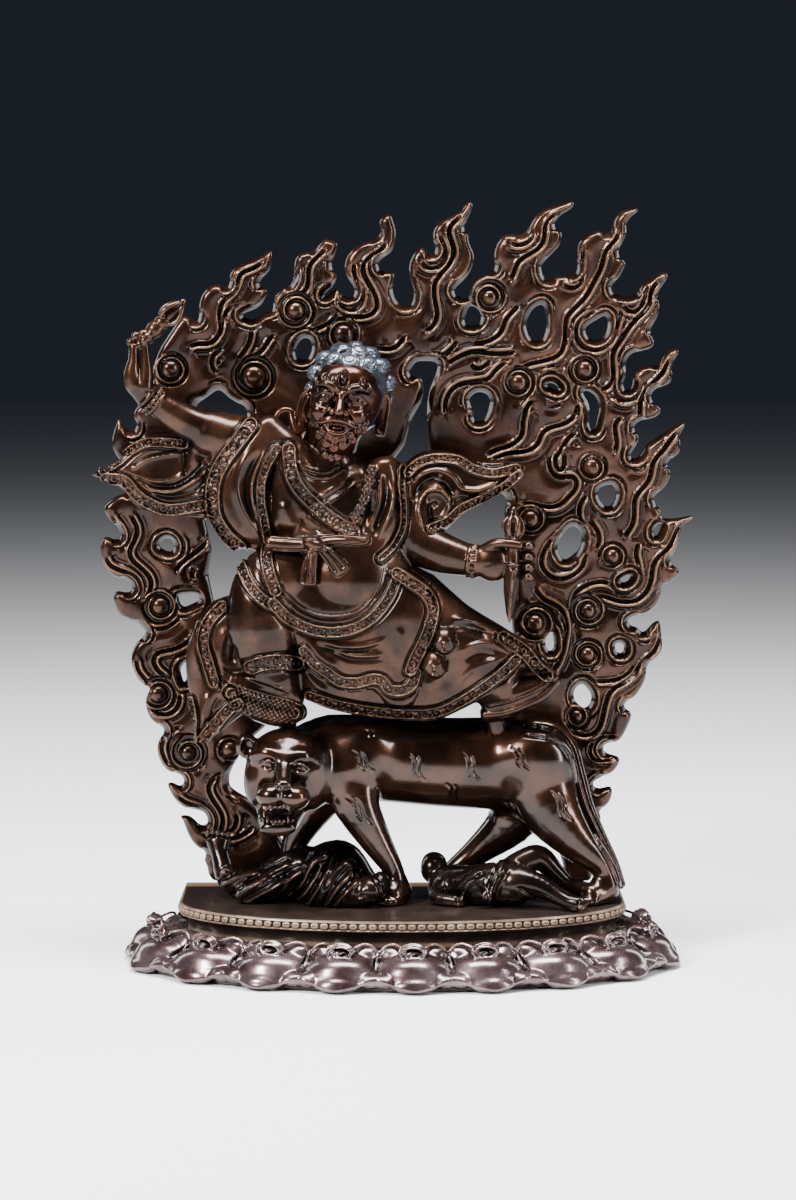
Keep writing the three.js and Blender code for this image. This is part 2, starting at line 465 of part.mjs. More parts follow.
function buildProtector() {
  return join([
    buildHead(),
    ...buildArms(),
    ...buildLegs(),
    ...buildRobe(),
    limb([[-28, 0, 189, 9, 9], [-25, -3, 198, 9, 9]]),
    limb([[-31, 1, 187, 16, 11], [-30, 0, 178, 22, 14], [-26, -1, 165, 24, 16], [-21, -3, 150, 25, 17],
      [-19, -3, 137, 24, 16]], 8),
    ball(-19, -9, 145.5, 18, 13, 13.5, 8),
    ball(-27, -16, 158.5, 3.2, 2.5, 2.8, 6),
    limb([[-27, -17, 157, 1.8, 1.4], [-29, -18, 147, 2.6, 1.4]], 5, 1),
    limb([[-26, -17, 157, 1.8, 1.4], [-18, -20, 150, 2.8, 1.4]], 5, 1),
    ball(15.5, -20, 123, 4.5, 4.5, 4.5, 6),
    ball(11.5, -20, 114, 4.5, 4.5, 4.5, 6),
  ]);
}

// Materials: dark patinated bronze, warmer where it is handled
function bronze(colour, roughness) {
  return new THREE.MeshStandardMaterial({ color: colour, roughness, metalness: 0.9 });
}

function toMesh(name, solid, material) {
  const mesh = solid.getMesh();
  const geometry = new THREE.BufferGeometry();
  geometry.setAttribute("position", new THREE.BufferAttribute(mesh.vertProperties, 3));
  geometry.setIndex(new THREE.BufferAttribute(mesh.triVerts, 1));
  geometry.computeVertexNormals();
  const result = new THREE.Mesh(geometry, material);
  result.name = name;
  return result;
}

const plinth = buildPlinth();
const tigress = cutBelow(buildTigress(), FLOOR + GAP);
const flames = buildFlames();
const protector = keepClear(buildProtector(), tigress);
const fallenLeft = keepClear(cutBelow(buildFallenLeft(), FLOOR + GAP), tigress, GAP_BESIDE);
const fallenRight = keepClear(cutBelow(buildFallenRight(), FLOOR + GAP), tigress, GAP_BESIDE);

const statue = new THREE.Group();
statue.add(toMesh("lotus_plinth", plinth, bronze("#3a2c26", 0.38)));
statue.add(toMesh("tigress", tigress, bronze("#3b231a", 0.3)));
statue.add(toMesh("fallen_figure_left", fallenLeft, bronze("#2e211c", 0.34)));
statue.add(toMesh("fallen_figure_right", fallenRight, bronze("#33221b", 0.34)));
statue.add(toMesh("protector", protector, bronze("#40291f", 0.34)));
statue.add(toMesh("flame_aureole", flames, bronze("#3c2c25", 0.42)));

export default statue;
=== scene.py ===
# %% [markdown]
# A bronze group on a lotus plinth: a wrathful protector strides on a tigress that stands over two fallen
# figures, before a horseshoe of flames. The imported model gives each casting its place. Here each casting is
# made again as finished metal: the same body, with the folds, borders, curls and flame lines on it, and a
# patina. All work is in millimetres, and a mesh is made in metres at the very end.

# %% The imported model
import math
import bpy
import numpy as np
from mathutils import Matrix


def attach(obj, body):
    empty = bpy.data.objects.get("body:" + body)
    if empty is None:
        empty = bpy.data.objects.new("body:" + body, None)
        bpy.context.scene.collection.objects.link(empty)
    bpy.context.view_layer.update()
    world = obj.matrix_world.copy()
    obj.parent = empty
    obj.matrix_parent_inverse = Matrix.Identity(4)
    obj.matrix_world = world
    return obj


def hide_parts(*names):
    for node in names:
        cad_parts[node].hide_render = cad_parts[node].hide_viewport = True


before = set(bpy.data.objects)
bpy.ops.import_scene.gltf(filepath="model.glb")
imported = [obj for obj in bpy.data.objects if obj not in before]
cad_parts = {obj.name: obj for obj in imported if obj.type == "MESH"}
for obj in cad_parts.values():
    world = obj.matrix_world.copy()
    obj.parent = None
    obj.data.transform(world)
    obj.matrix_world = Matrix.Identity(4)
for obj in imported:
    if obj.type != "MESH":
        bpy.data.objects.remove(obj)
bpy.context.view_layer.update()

import openvdb

bpy.ops.object.select_all(action="DESELECT")
print("nodes:", sorted(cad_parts))

# %% [markdown]
# The camera stands where the photographer stood: a little above the middle of the piece, with a long lens.
# It comes first, because it says how fine the work has to be: a pixel is about 0.4 mm.

# %% The camera
MM = 0.001
CAMERA_DISTANCE = 1250
CAMERA_TILT = math.radians(5)
CAMERA_TARGET = (-1.5, 0, 137)

bpy.ops.object.camera_add(
    location=(
        CAMERA_TARGET[0] * MM,
        -CAMERA_DISTANCE * math.cos(CAMERA_TILT) * MM,
        (CAMERA_TARGET[2] + CAMERA_DISTANCE * math.sin(CAMERA_TILT)) * MM,
    ),
    rotation=(math.radians(90) - CAMERA_TILT, 0, 0),
)
camera = bpy.context.object
camera.name = "photo_camera"
camera.data.lens = 100
camera.data.sensor_width = 36
camera.data.clip_start = 0.05
bpy.context.scene.camera = camera
print("camera at", [round(v, 3) for v in camera.location])

# %% [markdown]
# A cast and chased figure has no flat faces and no seams, so boxes and cylinders joined by hand would show
# their joints. Clay is nearer to how a founder's wax model is made: rolls and pellets pressed together,
# with the joints smoothed by a thumb. The clay here is a block of small cells that each hold their distance
# to the surface, so two rolls blend where they meet, and a tool drawn over the front lowers or raises the
# skin.

# %% Curves through a few points
REACH = 5.0     # how far from the surface the clay still knows its distance


def smooth_path(stations, per_span=4):
    """Points on a smooth curve through the stations; every column is eased alike."""
    points = np.asarray(stations, float)
    guides = np.vstack([2 * points[0] - points[1], points, 2 * points[-1] - points[-2]])
    path = []
    for i in range(len(points) - 1):
        a, b, c, d = guides[i:i + 4]
        for t in np.arange(per_span) / per_span:
            path.append(0.5 * (2 * b + (c - a) * t + (2 * a - 5 * b + 4 * c - d) * t**2
                               + (3 * b - a - 3 * c + d) * t**3))
    path.append(points[-1])
    return np.array(path)


def ease(low, high, value):
    """0 below low, 1 above high, smooth between."""
    t = np.clip((value - low) / (high - low), 0, 1)
    return t * t * (3 - 2 * t)


def soft_min(a, b, blend):
    """The smaller of two distances, rounded where they cross."""
    if blend <= 0:
        return np.minimum(a, b)
    near = np.maximum(blend - np.abs(a - b), 0) / blend
    return np.minimum(a, b) - near * near * blend * 0.25


# %% The block of clay
class Clay:
    """Distances to the surface on a grid of cells, less than 0 inside."""

    def __init__(self, low, high, pitch):
        self.low = np.array(low, float)
        self.pitch = pitch
        counts = np.ceil((np.array(high, float) - self.low) / pitch).astype(int) + 1
        self.axes = [(self.low[i] + pitch * np.arange(counts[i])).astype(np.float32) for i in range(3)]
        self.field = np.full(counts, REACH, np.float32)

    def window(self, low, high):
        """The cells inside a box, and their coordinates."""
        cut = []
        for i in range(3):
            first = int(np.clip((low[i] - self.low[i]) // self.pitch, 0, self.field.shape[i] - 1))
            last = int(np.clip((high[i] - self.low[i]) // self.pitch + 2, first + 1, self.field.shape[i]))
            cut.append(slice(first, last))
        x, y, z = (self.axes[i][cut[i]] for i in range(3))
        return tuple(cut), x[:, None, None], y[None, :, None], z[None, None, :]

    def press(self, cut, distance, blend=0, take=False):
        """Put a shape on the clay, or take it away."""
        distance = np.clip(distance, -REACH, REACH)
        if take:
            self.field[cut] = -soft_min(-self.field[cut], distance, blend)
        else:
            self.field[cut] = soft_min(self.field[cut], distance, blend)


def egg_distance(u, v, w, a, b, c):
    """Distance to an ellipsoid of half sizes a, b, c, near enough beside its surface."""
    near = np.sqrt((u / a) ** 2 + (v / b) ** 2 + (w / c) ** 2)
    slope = np.sqrt((u / a**2) ** 2 + (v / b**2) ** 2 + (w / c**2) ** 2) + 1e-6
    return near * (near - 1) / slope


# %% Rolls, pellets and sheets
def limb(clay, stations, blend=3.0, per_span=4, take=False, dome=0.75):
    """A roll along a curve, with sections [x, y, z, radius] or [x, y, z, half width, half depth]."""
    path = smooth_path(stations, per_span)
    if path.shape[1] == 4:
        path = np.column_stack([path, path[:, 3]])
    wide = path[:, 3:].max() + REACH
    cut, x, y, z = clay.window(path[:, :3].min(0) - wide, path[:, :3].max(0) + wide)
    whole = np.full(clay.field[cut].shape, REACH, np.float32)
    local = Clay.__new__(Clay)
    local.low = np.array([x[0, 0, 0], y[0, 0, 0], z[0, 0, 0]], float)
    local.pitch, local.field = clay.pitch, whole
    local.axes = [x[:, 0, 0], y[0, :, 0], z[0, 0, :]]
    for start, end in zip(path[:-1], path[1:]):
        way = end[:3] - start[:3]
        length = np.linalg.norm(way)
        if length < 1e-6:
            continue
        along = way / length
        deep = np.array([0, 1, 0]) - along * along[1]
        deep /= np.linalg.norm(deep)
        across = np.cross(deep, along)
        size = max(start[3:].max(), end[3:].max()) + REACH
        low = np.minimum(start[:3], end[:3]) - size
        part, px, py, pz = local.window(low, np.maximum(start[:3], end[:3]) + size)
        px, py, pz = px - np.float32(start[0]), py - np.float32(start[1]), pz - np.float32(start[2])
        on = px * np.float32(along[0]) + py * np.float32(along[1]) + pz * np.float32(along[2])
        t = np.clip(on / np.float32(length), 0, 1)
        u = px * np.float32(across[0]) + py * np.float32(across[1]) + pz * np.float32(across[2])
        v = px * np.float32(deep[0]) + py * np.float32(deep[1]) + pz * np.float32(deep[2])
        a = np.maximum(start[3] + t * (end[3] - start[3]), 0.2).astype(np.float32)
        b = np.maximum(start[4] + t * (end[4] - start[4]), 0.2).astype(np.float32)
        w = on - t * np.float32(length)
        distance = egg_distance(u, v, w, a, b, dome * np.minimum(a, b))
        whole[part] = np.minimum(whole[part], distance)
    clay.press(cut, whole, blend, take)


def pellet(clay, x, y, z, a, b=None, c=None, blend=1.0, take=False):
    """A round or oval lump."""
    b, c = b or a, c or a
    low = np.array([x - a, y - b, z - c]) - REACH
    cut, px, py, pz = clay.window(low, np.array([x + a, y + b, z + c]) + REACH)
    distance = egg_distance(px - np.float32(x), py - np.float32(y), pz - np.float32(z),
                            np.float32(a), np.float32(b), np.float32(c))
    clay.press(cut, distance, blend, take)


def outline_distance(x, z, outline):
    """Distance to a closed outline seen from the front, less than 0 inside."""
    distance = np.full(np.broadcast(x, z).shape, 1e6, np.float32)
    inside = np.zeros(distance.shape, bool)
    for (ax, az), (bx, bz) in zip(outline, np.roll(outline, -1, axis=0)):
        way_x, way_z = bx - ax, bz - az
        t = np.clip(((x - ax) * way_x + (z - az) * way_z) / (way_x**2 + way_z**2 + 1e-9), 0, 1)
        square = (x - ax - t * way_x) ** 2 + (z - az - t * way_z) ** 2
        distance = np.minimum(distance, square)
        crosses = (az > z) != (bz > z)
        inside ^= crosses & (x < ax + (z - az) / (bz - az + 1e-9) * way_x)
    return np.where(inside, -1, 1) * np.sqrt(distance)


def closed_path(outline, per_span=3):
    """A smooth closed outline through its corners."""
    points = np.asarray(outline, float)
    wrapped = np.vstack([points[-1], points, points[:2]])
    path = smooth_path(wrapped, per_span)
    return path[per_span:-per_span - 1]


def sheet(clay, outline, front, back, edge=1.5, blend=1.5, smooth=True):
    """Cloth or plate: an outline from the front, between two depths that may be functions of x and z."""
    outline = closed_path(outline) if smooth else np.asarray(outline, float)
    low_x, low_z = outline.min(0) - REACH
    high_x, high_z = outline.max(0) + REACH
    cut, x, y, z = clay.window((low_x, -1e3, low_z), (high_x, 1e3, high_z))
    flat_x, flat_z = x[:, 0, :], z[0, 0, None, :]
    flat = outline_distance(flat_x, flat_z, outline)
    near = front(flat_x, flat_z) if callable(front) else np.full(flat.shape, front, np.float32)
    far = back(flat_x, flat_z) if callable(back) else np.full(flat.shape, back, np.float32)
    depth = np.abs(y - (near + far)[:, None, :] / 2) - (far - near)[:, None, :] / 2
    clay.press(cut, -soft_min(-flat[:, None, :], -depth, edge * 2), blend)


# %% [markdown]
# The chaser's lines are drawn on a board: the piece seen flat from the front, with a height at each point.
# A line gives every point near it an offset across it and a distance along it, and from these two numbers
# come ridges, grooves, borders and running scrolls.

# %% The drawing board
def along_curve(x, z, path, reach):
    """Near a path: the offset across it, left positive, and the distance along it."""
    shape = np.broadcast(x, z).shape
    across = np.full(shape, 1e3, np.float32)
    along = np.zeros(shape, np.float32)
    row_x, row_z = x.ravel(), z.ravel()
    travelled = 0.0
    path = np.asarray(path, float)
    for a, b in zip(path[:-1], path[1:]):
        way = b - a
        length = math.hypot(*way)
        if length < 1e-6:
            continue
        i = slice(*np.searchsorted(row_x, [min(a[0], b[0]) - reach, max(a[0], b[0]) + reach]))
        j = slice(*np.searchsorted(row_z, [min(a[1], b[1]) - reach, max(a[1], b[1]) + reach]))
        px, pz = row_x[i, None] - np.float32(a[0]), row_z[None, j] - np.float32(a[1])
        t = np.clip((px * way[0] + pz * way[1]) / length**2, 0, 1)
        side = np.sign(way[0] * pz - way[1] * px)
        offset = np.hypot(px - t * way[0], pz - t * way[1]) * np.where(side == 0, 1, side)
        closer = np.abs(offset) < np.abs(across[i, j])
        across[i, j] = np.where(closer, offset, across[i, j])
        along[i, j] = np.where(closer, travelled + t * length, along[i, j])
        travelled += length
    return across, along


def bump(offset, width):
    """A rounded ridge, 1 at its crest."""
    return np.exp(-((offset / width) ** 2))


def ridge_and_grooves(offset, width=0.55, gap=0.75):
    """A fine raised line with a groove on both sides."""
    return bump(offset, width) - 0.8 * (bump(offset - gap - width, width)
                                        + bump(offset + gap + width, width))


# %% From clay to metal
FINE_HOLLOW, FINE_SCALE = 0.8, 0.35     # how far round a place it looks, and the depth that counts as 1
BROAD_HOLLOW, BROAD_SCALE = 3, 1.5
SHARP_EDGE = math.radians(40)
NEVER_THINNED = 10**6


def smooth_over(values, ends, rounds):
    """Average each corner's values with its neighbours', several times over."""
    count = len(values)
    links = np.bincount(ends.ravel(), minlength=count)[:, None]
    for _ in range(rounds):
        total = np.stack([
            np.bincount(ends[:, 0], values[ends[:, 1], k], count)
            + np.bincount(ends[:, 1], values[ends[:, 0], k], count) for k in range(values.shape[1])
        ], axis=1)
        values = (values + total) / (1 + links)
    return values


def average_depth(clay, points, spread):
    """How far inside the metal the neighbourhood of each point lies on average; hollows are positive."""
    stride = max(1, int(spread / (1.9 * clay.pitch)))
    field = clay.field[::stride, ::stride, ::stride]
    cell = clay.pitch * stride
    reach = int(np.ceil(2.5 * spread / cell))
    weight = np.exp(-0.5 * (np.arange(-reach, reach + 1) * cell / spread) ** 2).astype(np.float32)
    weight /= weight.sum()
    for axis in range(3):
        padded = np.pad(field, [(reach, reach) if k == axis else (0, 0) for k in range(3)], mode="edge")
        moved = np.zeros_like(field)
        for k, share in enumerate(weight):
            part = [slice(None)] * 3
            part[axis] = slice(k, k + field.shape[axis])
            moved += share * padded[tuple(part)]
        field = moved
    place = (points - clay.low) / cell
    base = np.clip(np.floor(place).astype(int), 0, np.array(field.shape) - 2)
    part = np.clip(place - base, 0, 1)
    depth = np.zeros(len(points))
    for corner in range(8):
        step = np.array([corner & 1, corner >> 1 & 1, corner >> 2 & 1])
        share = np.prod(np.where(step, part, 1 - part), axis=1)
        i, j, k = (base + step).T
        depth -= share * field[i, j, k]
    return depth


def finish_mesh(name, points, faces, most_triangles, clay=None, bend=None):
    """Make a piece of the points in mm, thin it, and note how hollow each place is."""
    mesh = bpy.data.meshes.new(name)
    mesh.from_pydata((points * MM).tolist(), [], faces)
    piece = bpy.data.objects.new(name, mesh)
    bpy.context.collection.objects.link(piece)
    triangles = sum(len(face.vertices) - 2 for face in mesh.polygons)
    bpy.ops.object.select_all(action="DESELECT")
    piece.select_set(True)
    bpy.context.view_layer.objects.active = piece
    if triangles > most_triangles:
        thin = piece.modifiers.new("thin", "DECIMATE")
        thin.ratio = most_triangles / triangles
        bpy.ops.object.modifier_apply(modifier=thin.name)
    bpy.ops.object.shade_smooth()
    mesh = piece.data
    count = len(mesh.vertices)
    place = np.empty(count * 3)
    mesh.vertices.foreach_get("co", place)
    place = place.reshape(-1, 3)
    if clay:
        hollows = [average_depth(clay, place / MM, FINE_HOLLOW) / FINE_SCALE,
                   average_depth(clay, place / MM, BROAD_HOLLOW) / BROAD_SCALE]
        if bend:
            place = bend(place / MM) * MM
            mesh.vertices.foreach_set("co", place.ravel())
            mesh.update()
    else:
        normal = np.empty(count * 3)
        mesh.vertices.foreach_get("normal", normal)
        ends = np.empty(len(mesh.edges) * 2, np.int64)
        mesh.edges.foreach_get("vertices", ends)
        ends = ends.reshape(-1, 2)
        normal = normal.reshape(-1, 3)
        hollows = [((smooth_over(place, ends, rounds) - place) * normal).sum(1) / (scale * MM)
                   for rounds, scale in ((5, FINE_SCALE), (40, BROAD_SCALE))]
    for label, hollow in zip(("hollow", "deep"), hollows):
        mesh.attributes.new(label, "FLOAT", "POINT").data.foreach_set("value", np.clip(hollow, -4, 4))
    print(name, "triangles:", sum(len(face.vertices) - 2 for face in mesh.polygons))
    return piece


def close_shell(piece):
    """Turn all faces outward and keep only the sharp edges sharp."""
    bpy.ops.object.select_all(action="DESELECT")
    piece.select_set(True)
    bpy.context.view_layer.objects.active = piece
    bpy.ops.object.mode_set(mode="EDIT")
    bpy.ops.mesh.select_all(action="SELECT")
    bpy.ops.mesh.normals_make_consistent(inside=False)
    bpy.ops.object.mode_set(mode="OBJECT")
    bpy.ops.object.shade_smooth_by_angle(angle=SHARP_EDGE)


def cast(clay, name, most_triangles, bend=None):
    """Turn the clay into a mesh."""
    grid = openvdb.FloatGrid()
    grid.background = REACH
    grid.copyFromArray(clay.field)
    points, triangles, quads = grid.convertToPolygons(isovalue=0.0, adaptivity=0.0)
    faces = [tuple(face) for face in triangles.tolist()]
    faces += [tuple(face) for face in quads.tolist()]
    return finish_mesh(name, points * clay.pitch + clay.low, faces, most_triangles, clay, bend)


# %% [markdown]
# The aureole is one flat casting of flame locks, dished a little toward the viewer. It could be built lock
# by lock, but the locks run into each other, so it is drawn as a founder would scratch it in a wax slab:
# one outline with its tips, barbs and openings, then the lines that part the locks. Each line is a groove
# between two fine rims. The face swells a little between the lines, round bosses sit where a line winds up,
# and every notch and opening has a lip. The flat plate is bent at the end.

# %% The flames' lines
FLOOR = 23
CASTING_GAP = 0.3
PLATE_HALF = 3
# The outline, pairs of x and z seen from the front, clockwise from the left foot
FLAME_OUTLINE = [
    -73, 25.5, -75, 28.5, -75, 31, -76.5, 33.5, -75.5, 36.5, -78.5, 38.5, -80.5, 40.5, -82.5, 44, -84.5,
    50, -86, 51, -84, 51.5, -81.5, 51, -77.5, 47, -75, 47.5, -75, 50, -76.5, 52.5, -83, 54, -85.5, 55.5,
    -88, 58.5, -90.5, 64, -88.5, 64.5, -85.5, 62.5, -84, 63.5, -84, 66, -86, 67.5, -89.5, 68.5, -92, 71,
    -93.5, 74.5, -94, 77.5, -93.5, 80.5, -91, 84.5, -92, 86, -94, 87, -96.5, 89.5, -98, 93, -98, 97.5,
    -96, 101.5, -98, 102, -101, 104.5, -102.5, 108, -103.5, 111.5, -103, 115.5, -101.5, 118.5, -97.5,
    122.5, -101, 126.5, -104.5, 128, -107.5, 129.5, -109, 132.5, -110, 136, -109, 139, -104.5, 138,
    -102.5, 139, -103, 141.5, -105, 143, -110, 144.5, -112.5, 147.5, -114, 151.5, -114.5, 155.5, -114,
    158.5, -112.5, 160, -109.5, 158.5, -107.5, 158.5, -106.5, 160, -107.5, 162.5, -112.5, 168.5, -113,
    170.5, -112.5, 172, -110, 174, -107.5, 175.5, -103, 176.5, -102, 180, -103, 184, -108, 190.5, -109.5,
    193.5, -109.5, 197.5, -107, 205, -106, 203, -104, 200.5, -101.5, 199.5, -100.5, 201, -101.5, 207,
    -95.5, 214.5, -94, 219, -94, 224, -91, 231.5, -85, 240.5, -82.5, 243.5, -80.5, 243, -79, 241.5, -77,
    241, -76.5, 244, -76.5, 247.5, -75.5, 251, -73.5, 253.5, -70.5, 255, -67.5, 254.5, -66, 253.5, -65,
    255.5, -65, 258.5, -64, 260.5, -61.5, 262, -54, 265, -49, 268, -48.5, 267, -49.5, 260.5, -53, 257,
    -54, 255, -53, 253.5, -50.5, 253.5, -51, 251, -52.5, 248, -54.5, 246, -60, 244, -60.5, 243, -56.5,
    241.5, -53, 244, -48.5, 245.5, -49, 248, -48, 251, -45.5, 253, -42, 254.5, -41, 257.5, -40.5, 264.5,
    -39, 266.5, -33.5, 267.5, -29.5, 272, -27.5, 272, -26, 271, -24, 271, -24, 269.5, -26.5, 263, -26,
    260.5, -24, 258.5, -26, 254, -29.5, 251.5, -29.5, 250, -28, 251, -24.5, 254, -21.5, 250.5, -19.5,
    250, -18, 251, -18, 253.5, -21, 258, -22, 261.5, -21, 265.5, -18.5, 268.5, -15, 270.5, -11, 271.5,
    -8.5, 273.5, -8, 276, -9, 278.5, -7.5, 280.5, -5.5, 281.5, -4, 281.5, -2, 275, -2.5, 270.5, -3.5,
    267.5, -8.5, 264, -9, 261.5, -7.5, 260, -2.5, 259.5, -3.5, 254, -3, 251, -1.5, 248.5, 1, 246.5, 3.5,
    247.5, 4.5, 250.5, 4, 254.5, 2.5, 259, 2.5, 262.5, 4, 266.5, 7.5, 269.5, 10.5, 266, 12.5, 267, 12.5,
    269, 11.5, 271.5, 11.5, 275, 13, 277.5, 16, 279.5, 20, 281, 22.5, 283, 24, 285.5, 25.5, 286.5, 27,
    285.5, 26.5, 283, 23.5, 277, 23.5, 275, 25.5, 273.5, 25, 271.5, 27.5, 266, 27, 262.5, 25.5, 259, 23,
    256, 20.5, 254, 19.5, 252.5, 21, 250.5, 25, 249.5, 25.5, 252.5, 26.5, 255.5, 29.5, 258, 35, 260.5,
    34.5, 267, 35.5, 270, 37.5, 273, 40, 274, 42.5, 273.5, 46, 274, 50, 280.5, 52.5, 282.5, 56, 284, 64,
    286.5, 65, 285, 64, 283.5, 59, 280.5, 57.5, 278, 57.5, 276, 60.5, 274.5, 59.5, 269.5, 54.5, 264.5,
    52.5, 262, 53, 259, 54, 257, 56, 256.5, 57.5, 258, 65, 259, 66, 261.5, 65.5, 268.5, 66.5, 271.5, 69,
    273.5, 74, 275.5, 75.5, 274, 78, 274, 79, 276.5, 79.5, 279.5, 81.5, 282, 84, 283, 88.5, 283.5, 89,
    282.5, 85.5, 280, 84, 277, 84.5, 274, 81.5, 268, 81.5, 265.5, 84.5, 263, 82, 258, 78.5, 254, 79.5,
    251.5, 84.5, 250.5, 87.5, 251, 90, 255, 97, 259.5, 99.5, 259.5, 100, 257.5, 97, 253.5, 96, 250.5, 97,
    247, 96.5, 243.5, 94.5, 240, 93.5, 237, 94.5, 234.5, 95.5, 233, 94, 231, 86.5, 229, 85, 227, 84.5,
    224, 85, 222, 84.5, 219.5, 83.5, 217.5, 84, 215.5, 86, 215, 87, 217.5, 87, 221, 89, 223.5, 92.5,
    224.5, 96, 224.5, 99, 229.5, 102, 231, 104.5, 230.5, 104, 228.5, 102.5, 227, 101.5, 224, 102, 221,
    101.5, 218, 95.5, 215.5, 94, 213, 95, 210.5, 98, 208.5, 98, 207, 96, 205, 90, 203.5, 88, 202, 88,
    200, 90, 197.5, 89, 194, 87, 191.5, 86.5, 189.5, 88, 189, 89.5, 189.5, 92.5, 194.5, 103.5, 202, 106,
    203, 107.5, 203, 105, 198.5, 105, 196.5, 105.5, 194, 105, 191.5, 101, 188.5, 100.5, 186.5, 102,
    184.5, 101.5, 182, 100, 179, 95.5, 174.5, 96, 172.5, 99, 168.5, 98.5, 166.5, 104, 166.5, 111, 168,
    110.5, 166.5, 106, 164, 104.5, 155.5, 102, 150, 103.5, 148, 105.5, 147.5, 105.5, 145, 99, 140, 98,
    135, 96, 132, 93, 130, 87, 128, 86, 126.5, 87.5, 125, 90.5, 124.5, 91.5, 122.5, 92.5, 122.5, 96.5,
    127, 98.5, 127.5, 99.5, 117, 99, 114.5, 94, 110, 93, 104, 91.5, 101, 89.5, 98, 85, 94.5, 86, 92.5,
    88, 92, 88, 89.5, 85.5, 83.5, 83.5, 80.5, 78.5, 79, 77, 77.5, 78.5, 75.5, 84, 74, 83.5, 71.5, 81.5,
    68.5, 73.5, 64, 74, 62, 76.5, 61.5, 79, 62.5, 81, 62.5, 81, 59.5, 80, 56.5, 76, 52.5, 77, 50, 76,
    47.5, 75, 43, 74.5, 33, 73, 25.5, 63.5, 25, 62, 33, 49.5, 68, 43.5, 78, 40, 87.5, 39.5, 99.5, 41,
    111, 43, 118, 42, 127.5, 43, 134.5, 43, 142, 42, 152, 39, 167, 40, 174, 33.5, 178.5, 22, 180.5, 14.5,
    184.5, 10, 190, 9, 203.5, 9.5, 211.5, 10.5, 216, 13, 222, 13.5, 225.5, 10.5, 226, 5.5, 226, 2.5, 222,
    4, 220, 7, 220.5, 8.5, 217.5, 8.5, 214, 7.5, 210.5, 3.5, 203.5, 1, 194, -4, 187.5, -12, 184.5, -27.5,
    182.5, -46.5, 182.5, -59.5, 186.5, -59, 208.5, -64.5, 211.5, -69.5, 215.5, -77.5, 210, -80.5, 200,
    -75, 165.5, -72.5, 154, -74, 144.5, -72, 134.5, -69, 127, -68, 111.5, -64, 99.5, -58.5, 93.5, -54,
    90, -52, 86, -61.5, 78, -63, 73.5, -65, 70.5, -66.5, 66.5, -66.5, 62.5, -63.5, 60, -60, 58, -54, 52,
    -47, 42.5, -44, 36.5, -43.5, 25,
]
# Openings
FLAME_HOLES = [
    [23.5, 241, 25.5, 247, 27, 247, 29, 245.5, 30, 243.5, 29.5, 241, 27.5, 239.5, 25, 239.5],
    [51, 247, 53.5, 247.5, 54, 244.5, 54.5, 241, 54, 236.5, 52.5, 234, 50.5, 233.5, 48.5, 235, 47, 238.5,
    47.5, 242, 49, 245],
    [77, 243.5, 77.5, 241, 77, 237, 75, 234.5, 72.5, 234, 70.5, 235, 69, 237.5, 70, 239.5, 75, 242.5],
    [54.5, 217.5, 57, 218, 59.5, 216, 59.5, 215, 55, 216.5],
    [25.5, 211.5, 27, 213.5, 29.5, 214.5, 32.5, 213.5, 33.5, 211, 32, 205.5, 30.5, 203.5, 28.5, 203, 27,
    204.5, 28, 206.5, 26.5, 209],
    [68.5, 215, 71.5, 214.5, 73.5, 212.5, 74.5, 210.5, 74.5, 207.5, 73, 200.5, 72, 199.5, 71, 202, 71.5,
    208, 70.5, 211.5, 69, 213],
    [75, 178, 80, 179.5, 81.5, 177, 81, 174, 80, 171.5, 78, 170.5, 75, 173.5, 74.5, 175.5],
    [65, 163.5, 67, 162.5, 68.5, 160.5, 68.5, 157, 67.5, 154, 62.5, 150, 61, 151, 59.5, 153.5, 59.5, 157,
    63, 162],
    [83, 142.5, 87.5, 145, 87, 143, 85, 141.5, 83, 142],
    [96, 159.5, 95.5, 162, 97, 164, 99, 165, 97, 159.5],
    [56.5, 122.5, 57.5, 123, 58.5, 116.5, 57, 114.5, 56, 115, 55, 118, 55.5, 120.5],
    [81.5, 118, 83.5, 118.5, 85, 118, 85, 115, 83.5, 114, 82, 115],
    [66, 98.5, 67, 101, 69, 102.5, 71, 101, 73, 97.5, 72, 94, 70, 92.5, 66.5, 95.5],
    [-36, 235, -34.5, 234, -34, 231.5, -35, 228, -37, 226.5, -39.5, 227, -40.5, 229.5, -39.5, 232.5, -38,
    234.5],
    [-89, 159, -87.5, 158, -86.5, 156, -87, 154, -89, 153.5, -92.5, 155.5, -92, 157.5, -90.5, 158.5],
    [-85.5, 136.5, -78.5, 137, -77, 135, -83.5, 132, -85, 134],
    [-81.5, 111, -80.5, 111, -83.5, 102.5, -85, 108, -83.5, 110.5],
]
